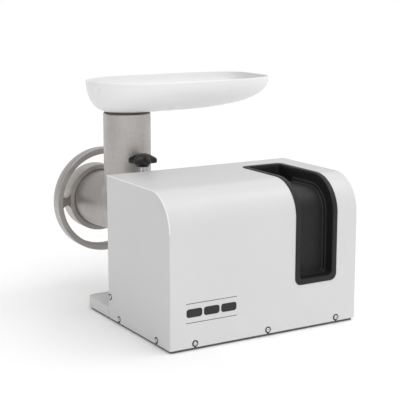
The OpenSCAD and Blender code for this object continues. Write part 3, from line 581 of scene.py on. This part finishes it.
def along_outline(s):
    """The point and the outward direction at distance s up the front, round the bend and back."""
    straight = HOUSING_H - BEND
    if s < straight:
        return (0, s), (-1, 0)
    turn = (s - straight) / BEND
    if turn < pi / 2:
        return (BEND - BEND * cos(turn), straight + BEND * sin(turn)), (-cos(turn), sin(turn))
    return (BEND + s - straight - BEND * pi / 2, HOUSING_H), (0, 1)


GRIP_X1 = HOUSING_L - 42
GRIP_X0 = GRIP_X1 - 85
GRIP_LOW = 74
GRIP_BACK = 172
FLANGE = 14
SCREW_Z = 6.5
SLOT_HALF = 2.2
FRONT_SCREWS = [(46 + i * 139.75, SCREW_Z) for i in range(3)]
END_SCREWS = [(45.5, SCREW_Z), (178, SCREW_Z), (HOUSING_W - 7.5, 38)]


def screw_slot(across, low, high):
    """The outline of a slot that a cover screw stands in, round at its top."""
    left, right, top = across - SLOT_HALF, across + SLOT_HALF, high + SLOT_HALF
    return rounded([(left, low), (right, low), (right, top), (left, top)], [0, 0, 2.19, 2.19])


def cover_shell():
    """The bent sheet with welded ends: bevelled corners outside, cut for the grip and the screws."""
    shell = prism("cover_shell", side_outline(0), "X", 0, HOUSING_L, paint)
    work = bmesh.new()
    work.from_mesh(shell.data)
    ends = [cover_low[0], cover_high[0]]
    foot = cover_low[2]
    rims = [
        e for e in work.edges
        if any(all(abs(v.co.x - x) < 1e-5 for v in e.verts) for x in ends)
        and not all(abs(v.co.z - foot) < 1e-5 for v in e.verts)
    ]
    bmesh.ops.bevel(
        work, geom=rims, offset=1.7 * MM, segments=4, profile=0.5, affect="EDGES", clamp_overlap=True
    )
    work.to_mesh(shell.data)
    work.free()
    inner = prism("inner", side_outline(-SHEET), "X", SHEET, HOUSING_L - SHEET, paint)
    boolean(shell, inner)
    boolean(shell, box_solid("open_foot", (SHEET, SHEET, -5), (HOUSING_L - SHEET, HOUSING_W + 5, 18.3)))
    boolean(shell, box_solid(
        "open_back", (FLANGE, BACK - 3, 18), (HOUSING_L - FLANGE, HOUSING_W + 5, HOUSING_H - FLANGE)
    ))
    low, back, top = GRIP_LOW + 4, GRIP_BACK - 4, HOUSING_H + 5
    hole = [(-5, low), (back, low), (back, top), (-5, top)]
    window = prism("window", hole, "X", GRIP_X0 + 4, GRIP_X1 - 4, paint)
    keep = prism("keep", side_outline(-SHEET - 1), "X", GRIP_X0, GRIP_X1, paint)
    boolean(window, keep)
    boolean(shell, window)
    for x, z in FRONT_SCREWS:
        boolean(shell, prism("slot", screw_slot(x, -3, z), "Y", -3, SHEET + 3, paint))
    for y, z in END_SCREWS:
        slot = screw_slot(y, -3 if z == SCREW_Z else z - 5, z)
        boolean(shell, prism("slot", slot, "X", -3, SHEET + 3, paint))
        boolean(shell, prism("slot", slot, "X", HOUSING_L - SHEET - 3, HOUSING_L + 3, paint))
    shade_by_angle(shell, 25)
    # Painted highlight: the bevel faces at both ends, from the bend upwards, take the brighter paint to
    # stand for the light line along those edges.
    shell.data.materials.append(edge_highlight_paint)
    bend_foot = foot + (HOUSING_H - BEND) * MM
    for face in shell.data.polygons:
        if 0.1 < abs(face.normal.x) < 0.97 and face.center.z > bend_foot:
            face.material_index = 1
    return stand_for(shell, "chassis", "painted_steel", "housing_cover")


def grip_lining():
    """The recessed carry grip: a flange on the cover, steep walls, a curved floor and a deep well on top."""
    depth, deep = 22.5, 52
    crest_y = 120
    start = GRIP_LOW
    end = HOUSING_H - BEND + BEND * pi / 2 + GRIP_BACK - BEND
    crest = HOUSING_H - BEND + BEND * pi / 2 + crest_y - BEND
    half = (GRIP_X1 - GRIP_X0) / 2
    mid = (GRIP_X0 + GRIP_X1) / 2
    corner_steps = 10

    def path(inset, corner):
        """Right half of the outline from bottom middle to back middle: (s, x, depth) at each step."""
        low, high, wide = start + inset, end - inset, half - inset
        quarter = [pi / 2 * k / corner_steps for k in range(corner_steps + 1)]
        edge = [(0, depth), (crest - low, depth), (crest + 4 - low, deep), (high - low, deep)]
        bends = rounded([(0, -500), *edge, (high - low, -500)], [0, 0, 9, 6, 0, 0], 8)
        bends = [b for b in bends if b[1] > 0]
        straight = [low + corner + (high - low - 2 * corner) * r for r in np.linspace(0, 1, 40)[1:-1]]
        near_crest = [crest + step for step in np.linspace(-8.5, 8, 18)]
        half_points = [(low, 0)]
        half_points += [(low + corner - corner * cos(t), wide - corner + corner * sin(t)) for t in quarter]
        half_points += [(s, wide) for s in sorted(straight + near_crest)]
        half_points += [(high - corner + corner * sin(t), wide - corner + corner * cos(t)) for t in quarter]
        half_points.append((high, 0))
        dips = np.interp([s - low for s, x in half_points], [b[0] for b in bends], [b[1] for b in bends])
        return [(s, x, float(dip)) for (s, x), dip in zip(half_points, dips)]

    # inset, share of the depth, extra depth, corner radius
    levels = [
        (0.0, 0, 1.9, 12.0), (0.0, 0, -0.5, 12.0), (0.25, 0, -1.0, 11.8), (0.8, 0, -1.2, 11.4),
        (7.9, 0, -1.2, 8.6), (8.8, 0, -0.9, 8.3), (9.3, 0, -0.1, 8.1), (9.5, 0.10, 0, 8.0),
        (10.0, 0.48, 0, 7.9), (10.4, 0.72, 0, 7.9), (10.8, 0.755, 0, 7.8), (11.9, 0.775, 0, 7.6),
        (12.2, 0.83, 0, 7.5), (12.6, 0.93, 0, 7.4), (13.2, 0.975, 0, 7.2), (14.4, 0.995, 0, 6.6),
        (16.0, 1.0, 0, 6.0),
    ]
    rings = []
    for inset, share, extra, corner in levels:
        ring = []
        for s, x, dip in path(inset, corner):
            (y, z), (ny, nz) = along_outline(s)
            d = share * dip + extra
            ring.append((x, y - ny * d, z - nz * d))
        rings.append(ring)
    points, faces = [], []
    n = len(rings[0])
    whole = 2 * n - 2
    for ring in rings:
        points += [(mid + x, y, z) for x, y, z in ring]
        points += [(mid - x, y, z) for x, y, z in ring[-2:0:-1]]
    for k in range(len(rings) - 1):
        for j in range(whole):
            m = (j + 1) % whole
            faces.append((k * whole + j, k * whole + m, (k + 1) * whole + m, (k + 1) * whole + j))
    last = (len(rings) - 1) * whole
    mirror = [last + (whole - j) % whole for j in range(n)]
    for j in range(n - 1):
        quad = [last + j, last + j + 1, mirror[j + 1], mirror[j]]
        faces.append(tuple(dict.fromkeys(quad)))
    grip = mesh_object("carry_grip", points, faces, grip_black)
    wall = grip.modifiers.new("wall", "SOLIDIFY")
    wall.thickness = 1.6 * MM
    wall.offset = -1
    apply_modifiers(grip)
    shade_by_angle(grip, 48)
    return stand_for(grip, "chassis", "black_plastic", "handle_insert")


def name_plate():
    """Three blank bars between two fine rules, without any lettering."""
    parts = []
    for z in (41.6, 73.2):
        rule = rounded([(29.2, z - 0.45), (124.4, z - 0.45), (124.4, z + 0.45), (29.2, z + 0.45)], 0.2, 2)
        parts.append(prism("rule", rule, "Y", -0.12, 0.05, badge_black))
    for i in range(3):
        x = 30 + i * 32.2
        bar = rounded([(x, 50.5), (x + 29, 50.5), (x + 29, 64.5), (x, 64.5)], 4.5, 6)
        parts.append(prism("bar", bar, "Y", -0.2, 0.05, badge_black))
    plate = join("front_badge", parts)
    shade_by_angle(plate)
    return stand_for(plate, "chassis", "black_plastic")


cover_shell()
grip_lining()
name_plate()

# ------------------------------------------------------------------ tray

TRAY_TOP = 400.5
TRAY_FLOOR = PIPE_TOP + 3.4
TRAY_X0 = HEAD_X - 70.5
TRAY_L, TRAY_W = 345, 182
TRAY_MID = TRAY_X0 + 109
TRAY_WALL = 3
SPIGOT_IN, SPIGOT_OUT = 34.5, 37.4
SPIGOT_REACH = 15


def tray_ring(u, inset, z, count=180):
    """One level of the tray at depth u, from 0 at the rim to 1 at the floor, its points evenly spaced."""
    def draw(p):
        return 1 - (1 - min(u, 1) ** p) ** (1 / p)

    left = TRAY_MID - TRAY_X0 - inset - 34 * draw(2.2)
    right = TRAY_X0 + TRAY_L - TRAY_MID - inset - 215 * draw(2.75)
    half = TRAY_W / 2 - inset - 58 * draw(2.2)
    a = np.linspace(0, tau, 4001)
    n = np.where(np.cos(a) < 0, 2.1, 4.0)
    wide = np.where(np.cos(a) < 0, left, right)
    x = wide * np.sign(np.cos(a)) * np.abs(np.cos(a)) ** (2 / n)
    y = half * np.sign(np.sin(a)) * np.abs(np.sin(a)) ** (2 / n)
    run = np.concatenate([[0], np.cumsum(np.hypot(np.diff(x), np.diff(y)))])
    even = np.linspace(0, run[-1], count, endpoint=False)
    return [(TRAY_MID + p, PIPE_Y + q, z) for p, q in zip(np.interp(even, run, x), np.interp(even, run, y))]


def loft(name, rings, material):
    n = len(rings[0])
    points = [p for ring in rings for p in ring]
    faces = [
        (k * n + j, k * n + (j + 1) % n, (k + 1) * n + (j + 1) % n, (k + 1) * n + j)
        for k in range(len(rings) - 1) for j in range(n)
    ]
    faces += [tuple(range(n)), tuple(range(len(points) - 1, len(points) - n - 1, -1))]
    return mesh_object(name, points, faces, material)


def tray_shell():
    """The boat-shaped tray, lofted outside and in, with a rolled rim and a spigot into the pipe."""
    depth = TRAY_TOP - TRAY_FLOOR
    levels = [sin(pi / 2 * k / 26) for k in range(27)]
    outside = [tray_ring(u, 0, TRAY_TOP - depth * u) for u in reversed(levels) if u > 0.02]
    roll = TRAY_WALL / 2
    rim = [
        tray_ring(0, roll - roll * cos(pi * k / 8), TRAY_TOP - roll + roll * sin(pi * k / 8))
        for k in range(9)
    ]
    inner_depth = depth - TRAY_WALL
    inside = [tray_ring(u, TRAY_WALL, TRAY_TOP - inner_depth * u) for u in levels if u > 0.04]
    tray = loft("tray_shell", outside + rim + inside, tray_white)
    low, high, inner = PIPE_TOP - SPIGOT_REACH, TRAY_FLOOR + 1, SPIGOT_IN - 1
    wall = rounded([(inner, low), (SPIGOT_OUT, low), (SPIGOT_OUT, high), (inner, high)], [0.8, 0.8, 0, 0], 3)
    boolean(tray, turned("spigot", wall, tray_white, "Z", (HEAD_X, PIPE_Y, 0)), "UNION")
    low, high = PIPE_TOP - SPIGOT_REACH - 10, TRAY_FLOOR + 40
    bore = [(0, low), (SPIGOT_IN, low), (SPIGOT_IN, high), (0, high)]
    boolean(tray, turned("bore", bore, plain, "Z", (HEAD_X, PIPE_Y, 0)))
    shade_by_angle(tray, 35)
    return stand_for(tray, "tray", "tray_plastic", "feed_tray")


tray_shell()
# Painted shade: the dark grey ring under the tray stands for the shadow in the gap above the pipe.
gasket_outline = [(37.55, PIPE_TOP), (40.7, PIPE_TOP), (40.7, TRAY_FLOOR), (37.55, TRAY_FLOOR)]
gasket = turned(
    "gasket_ring", rounded(gasket_outline, 0.9, 4), gasket_shade_grey, "Z", (HEAD_X, PIPE_Y, 0)
)
stand_for(gasket, "tray", "rubber", "tray_gasket")

# ------------------------------------------------------------------ head

BARREL_0, BARREL_1 = HOUSING_W + 48, RING_FRONT - 11
NECK_R = 34
SOCKET_1 = BACK + 42
THREAD_R = 52.8
SEAT_0 = BARREL_1 - 8.5
PLATE_R = 49.9
SKIN_STEP = 1.6


def head_field(x, y, z):
    """The grinding head: neck, barrel swelling to its thread, pipe blended in, bored through."""
    u, v = x - HEAD_X, z - HEAD_Z
    radial = np.sqrt(u * u + v * v)
    profile_y = [
        SOCKET_1 + 0.5, SOCKET_1 + 3, SOCKET_1 + 8,
        HUB_BACK - 62, HUB_BACK - 30, HUB_BACK - 8, HUB_BACK - 3, BARREL_1,
    ]
    profile_r = [45.0, 47.6, 48.4, 49.4, 50.8, 52.2, 52.5, THREAD_R]
    wall = np.interp(y, profile_y, profile_r)
    edge = 1.5
    across = radial - wall + edge
    along = np.maximum(SOCKET_1 + 0.5 + edge - y, y - BARREL_1 + edge)
    barrel = np.minimum(np.maximum(across, along), 0) - edge
    barrel += np.sqrt(np.maximum(across, 0) ** 2 + np.maximum(along, 0) ** 2)
    neck = rod(u, v, y, NECK_R, HOUSING_W + 6.5, BARREL_0 + 10, 1)
    pipe = rod(x - HEAD_X, y - PIPE_Y, z, PIPE_R, HEAD_Z, PIPE_TOP, 1.2)
    body = blend_in(blend_in(barrel, neck, 1.5), pipe, 9)
    body = cut_out(body, rod(x - HEAD_X, y - PIPE_Y, z, 38, HEAD_Z, PIPE_TOP + 20, 0.1), 1.2)
    body = cut_out(body, rod(u, v, y, 44.2, BARREL_0, BARREL_1 + 20, 0.1), 0.8)
    body = cut_out(body, rod(u, v, y, PLATE_R + 0.2, SEAT_0, BARREL_1 + 20, 0.1), 0.8)
    return cut_out(body, rod(u, v, y, 18.02, HOUSING_W - 10, BARREL_1, 0.1), 0.8)


head = implicit(
    "head_body", head_field,
    (HEAD_X - 60, HOUSING_W + 2, HEAD_Z - 60), (HEAD_X + 60, BARREL_1 + 4, PIPE_TOP + 4),
    SKIN_STEP, head_metal,
)
stand_for(head, "head", "head_metal", "head_casting")

CLAMP_X = HEAD_X - 6
CLAMP_Y = HOUSING_W + 17
CLAMP_TOP = HEAD_Z + 62


def socket_field(x, y, z):
    """The collar that clamps the head, with a boss for the clamp stud."""
    u, v = x - HEAD_X, z - HEAD_Z
    plate = rod(u, v, y, 59, BACK, BACK + 9, 1.5)
    collar = rod(u, v, y, 45.5, BACK, SOCKET_1, 2)
    boss = rod(x - CLAMP_X, y - CLAMP_Y, z, 12, HEAD_Z + 30, CLAMP_TOP, 1.2)
    body = blend_in(blend_in(plate, collar, 5), boss, 6)
    body = cut_out(body, rod(u, v, y, NECK_R + 0.05, HOUSING_W + 6, SOCKET_1 + 10, 0.1), 1)
    body = cut_out(body, rod(u, v, y, 24.02, BACK - 10, HOUSING_W + 6.1, 0.1), 0.5)
    body = cut_out(body, rod(x - CLAMP_X, y - CLAMP_Y, z, 4.05, HEAD_Z, CLAMP_TOP + 10, 0.1), 0.8)
    body = cut_out(body, rod(x - CLAMP_X, y - CLAMP_Y, z, 7.4, HEAD_Z, HEAD_Z + 45.6, 0.1), 0.2)
    for k in range(4):
        a = pi / 4 + pi / 2 * k
        bx, bz = HEAD_X + 52 * cos(a), HEAD_Z + 52 * sin(a)
        body = cut_out(body, rod(x - bx, z - bz, y, 5.4, BACK + 6, BACK + 20, 0.1), 0.6)
    return body


socket = implicit(
    "socket_collar", socket_field,
    (HEAD_X - 63, BACK - 3, HEAD_Z - 63), (HEAD_X + 63, SOCKET_1 + 3, CLAMP_TOP + 3),
    SKIN_STEP, head_metal,
)
stand_for(socket, "chassis", "head_metal", "head_socket")

HUB_R, HOOP_R, HOOP_W, HOOP_T = 62.6, 97.5, 11.3, 21
HOOP_0 = HUB_BACK - 22.6


def spoke(angle):
    """A spoke from hub to rim, flaring into both, leaning back towards the rim."""
    rings = []
    steps = 18
    for k in range(steps + 1):
        t = k / steps
        r = HUB_R - 2.5 + t * (HOOP_R - HOOP_W - HUB_R + 5)
        flare = 9.5 * (max(0, 1 - t / 0.42) ** 2.1 + max(0, (t - 0.58) / 0.42) ** 2.1)
        wide = 8.2 + flare
        low = HUB_BACK + 1 + (HOOP_0 + 1.4 - HUB_BACK - 1) * t
        high = HUB_BACK + 17 + (HOOP_0 + HOOP_T - 1.4 - HUB_BACK - 17) * t
        section = rounded([(-wide, low), (wide, low), (wide, high), (-wide, high)], 2.2, 4)
        rings.append([
            (HEAD_X + r * cos(angle) - w * sin(angle), y, HEAD_Z + r * sin(angle) + w * cos(angle))
            for w, y in section
        ])
    return loft("spoke", rings, ring_metal)


def ring_wheel():
    """The ring nut with its hand wheel: turned hub and rim, three cast spokes."""
    hub = turned("hub", rounded([
        (THREAD_R + 0.7, HUB_BACK), (HUB_R, HUB_BACK), (HUB_R, RING_FRONT),
        (47, RING_FRONT), (46, RING_FRONT - 1), (46, RING_FRONT - 7.9),
        (THREAD_R + 0.4, RING_FRONT - 7.9), (THREAD_R + 0.4, HUB_BACK + 0.4),
    ], [0.1, 1.2, 2.4, 0.4, 0.4, 0.3, 0.2, 0.1]), ring_metal, "Y", (HEAD_X, 0, HEAD_Z), 128)
    inner, hoop_1 = HOOP_R - HOOP_W, HOOP_0 + HOOP_T
    rim = turned("rim", rounded(
        [(inner, HOOP_0), (HOOP_R, HOOP_0), (HOOP_R, hoop_1), (inner, hoop_1)], [1.2, 1.7, 2.2, 1.6]
    ), ring_metal, "Y", (HEAD_X, 0, HEAD_Z), 160)
    wheel = join("ring_wheel", [hub, rim] + [spoke(pi + k * tau / 3) for k in range(3)])
    shade_by_angle(wheel, 40)
    return stand_for(wheel, "ring", "ring_metal", "ring_nut")


ring_wheel()

# ------------------------------------------------------------------ clamp knob

KNOB_Z = CLAMP_TOP + 24
KNOB_R = 24.8


def star_knob():
    """A moulded star knob: six lobes, a short skirt below and a flat crown."""
    # height, radius between the lobes, share of the lobes' reach
    profile = [
        (0.0, 10.4, 0.0), (0.3, 11.1, 0.0), (4.6, 11.8, 0.0), (5.4, 12.2, 0.12), (6.0, 14.6, 0.72),
        (6.6, 16.0, 0.93), (7.6, 16.9, 1.0), (10.0, 17.0, 1.0), (12.0, 17.0, 1.0), (13.2, 16.8, 0.98),
        (14.4, 16.4, 0.9), (15.6, 15.8, 0.72), (17.4, 14.6, 0.46), (19.4, 12.8, 0.22),
        (20.9, 11.2, 0.08), (21.6, 10.0, 0.02), (21.95, 8.8, 0.0), (22.0, 5.0, 0.0), (22.0, 2.0, 0.0),
    ]
    rings = []
    count = 180
    for h, r, star in profile:
        ring = []
        for k in range(count):
            a = tau * k / count
            lobe = (0.5 - 0.5 * cos(6 * a)) ** 1.35
            radius = r + (KNOB_R - r) * star * lobe
            ring.append((CLAMP_X + radius * cos(a), CLAMP_Y + radius * sin(a), KNOB_Z + h))
        rings.append(ring)
    knob = loft("star_knob", rings, knob_black)
    shade_by_angle(knob, 50)
    return stand_for(knob, "knob", "knob_plastic", "clamp_knob")


star_knob()

# ------------------------------------------------------------------ base, feet and fasteners

EASED = [
    ("base_plate", "chassis", 1.6), ("back_plate", "chassis", 0.4), ("foot_screws", "chassis", 0.3),
    ("cover_screws", "chassis", 0.25), ("back_screws", "chassis", 0.25), ("earth_stud", "chassis", 0.35),
    ("socket_bolts", "chassis", 0.4), ("switch_bezel", "chassis", 0.9), ("power_inlet", "chassis", 0.5),
    ("inlet_screws", "chassis", 0.3), ("start_button", "start", 0.5), ("stop_button", "stop", 0.5),
    ("clamp_stud", "knob", 0.4), ("grinder_plate", "plate", 0.35), ("knife", "worm", 0.4),
]
for node, body, width in EASED:
    piece = eased_copy(node, width, SLOTS[slot_of[node]])
    stand_for(piece, body, slot_of[node], node)

FEET = [
    (22, 22), (HOUSING_L - 21, 22), (HOUSING_L - 21, HOUSING_W - 22),
    (22, HOUSING_W + 56), (128, HOUSING_W + 56),
]
FOOT_OUTLINE = rounded(
    [(2.55, 0), (18, 0), (16.5, -5), (5.2, -5), (5.2, -2.5), (2.55, -2.5)], [0, 0.8, 1.4, 0.4, 0.2, 0]
)
for k, (x, y) in enumerate(FEET):
    foot = turned(f"rubber_foot_{k + 1}", FOOT_OUTLINE, rubber, "Z", (x, y, 0), 64)
    stand_for(foot, "chassis", "rubber", "rubber_feet")

SHADOW_GAP = 3.5
STRIP_W = 5
TONGUE_X0, TONGUE_X1 = 0, 150
TONGUE_Y = HOUSING_W + 90


def base_outline(inset):
    """The base's plan with its tongue, drawn inwards."""
    x0, x1, far = TONGUE_X0 + inset, TONGUE_X1 - inset, TONGUE_Y - inset
    right, back = HOUSING_L - inset, HOUSING_W - inset
    corners = [(inset, inset), (right, inset), (right, back), (x1, back), (x1, far), (x0, far)]
    return rounded(corners, [2, 2, 2, 1, 17 - inset, 17 - inset], 8)


# Painted shade: a dark strip hung just inside the base's edge stands for the shadow in the gap between the
# base and the floor.
strip = prism("base_shade_strip", base_outline(SHADOW_GAP), "Z", -4.3, 0.3, shade_strip_dark)
boolean(strip, prism("inside", base_outline(SHADOW_GAP + STRIP_W), "Z", -6, 2, rubber))
stand_for(strip, "chassis", "rubber")

WASHER_IN, WASHER_OUT, WASHER_T = 2.2, 5.6, 0.5
SUNK = 0.05


def screw_shade_ring(name, start, axis, centre):
    """A thin dark ring between a cover screw's head and the sheet: painted shade round the head and in its
    slot.
    """
    end = start + WASHER_T
    outline = [(WASHER_IN, start), (WASHER_OUT, start), (WASHER_OUT, end), (WASHER_IN, end)]
    washer = turned(name, rounded(outline, 0.15, 2), rubber, axis, centre, 40)
    stand_for(washer, "chassis", "rubber")


# Painted shade: a dark ring at each cover screw, front and both ends, stands for the shade round its head
# and in its slot.
for k, (x, z) in enumerate(FRONT_SCREWS):
    screw_shade_ring(f"front_washer_{k + 1}", SUNK - WASHER_T, "Y", (x, 0, z))
for k, (y, z) in enumerate(END_SCREWS):
    for side, start in (("left", SUNK - WASHER_T), ("right", HOUSING_L - SUNK)):
        screw_shade_ring(f"{side}_washer_{k + 1}", start, "X", (0, y, z))

# ------------------------------------------------------------------ floor, light and camera

VIEW_TURN = radians(-30.684)
CAMERA_TILT = radians(11.2013)
CAMERA_PLACE = (-835.834, -1501.068, 584.361)
LENS = 102.76
FLOOR_REACH = 120
BACKDROP_R, BACKDROP_TOP, BACKDROP_STEPS = 20, 12, 64

# strength, turn from straight behind the object (anticlockwise, degrees), height in degrees, narrowness
SOFT_BOXES = [
    (0.10, 0, 10, 3),
    (0.95, 0, 50, 6),
    (1.30, 45, 8, 12),
    (0.65, -60, 25, 3),
    (0.40, -110, 30, 3),
    (0.65, -150, 65, 10),
    (0.50, 180, 20, 4),
    (1.25, 180, 60, 4),
    (3.00, -80, 57, 60),
]


def stage_piece(name, points, faces, material):
    """A floor or backdrop, in metres, that isn't part of the object."""
    mesh = bpy.data.meshes.new(name)
    mesh.from_pydata(points, [], faces)
    mesh.materials.append(material)
    obj = placed(name, mesh)
    return obj


def studio():
    """A pale floor, a white backdrop that only the camera sees, soft light and the camera."""
    m = Nodes("floor_white")
    m.set(Base_Color=(0.9, 0.9, 0.9), Roughness=0.9, Specular_IOR_Level=0.1)
    m.set(Emission_Color=(1, 1, 1), Emission_Strength=0.1)
    corners = [(x * FLOOR_REACH, y * FLOOR_REACH, 0) for x, y in ((-1, -1), (1, -1), (1, 1), (-1, 1))]
    stage_piece("floor", corners, [(0, 1, 2, 3)], m.material)

    m = Nodes("backdrop_white")
    m.set(Base_Color=(0, 0, 0), Emission_Color=(1, 1, 1), Emission_Strength=1.0, Specular_IOR_Level=0)
    n = BACKDROP_STEPS
    around = [(BACKDROP_R * cos(tau * k / n), BACKDROP_R * sin(tau * k / n)) for k in range(n)]
    points = [(x, y, z) for z in (-1, BACKDROP_TOP) for x, y in around]
    faces = [(k, (k + 1) % n, n + (k + 1) % n, n + k) for k in range(n)]
    backdrop = stage_piece("backdrop", points, faces, m.material)
    backdrop.visible_diffuse = False
    backdrop.visible_glossy = False
    backdrop.visible_shadow = False
    backdrop.visible_transmission = False
    backdrop.visible_volume_scatter = False

    world = bpy.data.worlds.new("studio")
    bpy.context.scene.world = world
    world.use_nodes = True
    nodes, links = world.node_tree.nodes, world.node_tree.links
    direction = nodes.new("ShaderNodeTexCoord").outputs["Generated"]
    total = None
    for strength, azimuth, elevation, power in SOFT_BOXES:
        a, el = VIEW_TURN + radians(azimuth), radians(elevation)
        facing = nodes.new("ShaderNodeVectorMath")
        facing.operation = "DOT_PRODUCT"
        facing.inputs[1].default_value = (-sin(a) * cos(el), cos(a) * cos(el), sin(el))
        links.new(direction, facing.inputs[0])
        value = facing.outputs["Value"]
        for operation, number in (("MAXIMUM", 0), ("POWER", power), ("MULTIPLY", strength)):
            step = nodes.new("ShaderNodeMath")
            step.operation = operation
            step.inputs[1].default_value = number
            links.new(value, step.inputs[0])
            value = step.outputs[0]
        if total is not None:
            add = nodes.new("ShaderNodeMath")
            links.new(total, add.inputs[0])
            links.new(value, add.inputs[1])
            value = add.outputs[0]
        total = value
    links.new(total, nodes["Background"].inputs["Strength"])
    nodes["Background"].inputs["Color"].default_value = (1, 1, 1, 1)

    camera = bpy.data.cameras.new("camera")
    camera.sensor_width = 36
    camera.lens = LENS
    camera.clip_end = 500
    obj = placed("camera", camera)
    obj.location = at([CAMERA_PLACE])[0]
    obj.rotation_euler = (pi / 2 - CAMERA_TILT, 0, VIEW_TURN)
    bpy.context.scene.camera = obj
    bpy.context.scene.view_settings.view_transform = "Standard"


studio()
bpy.data.materials.remove(plain)
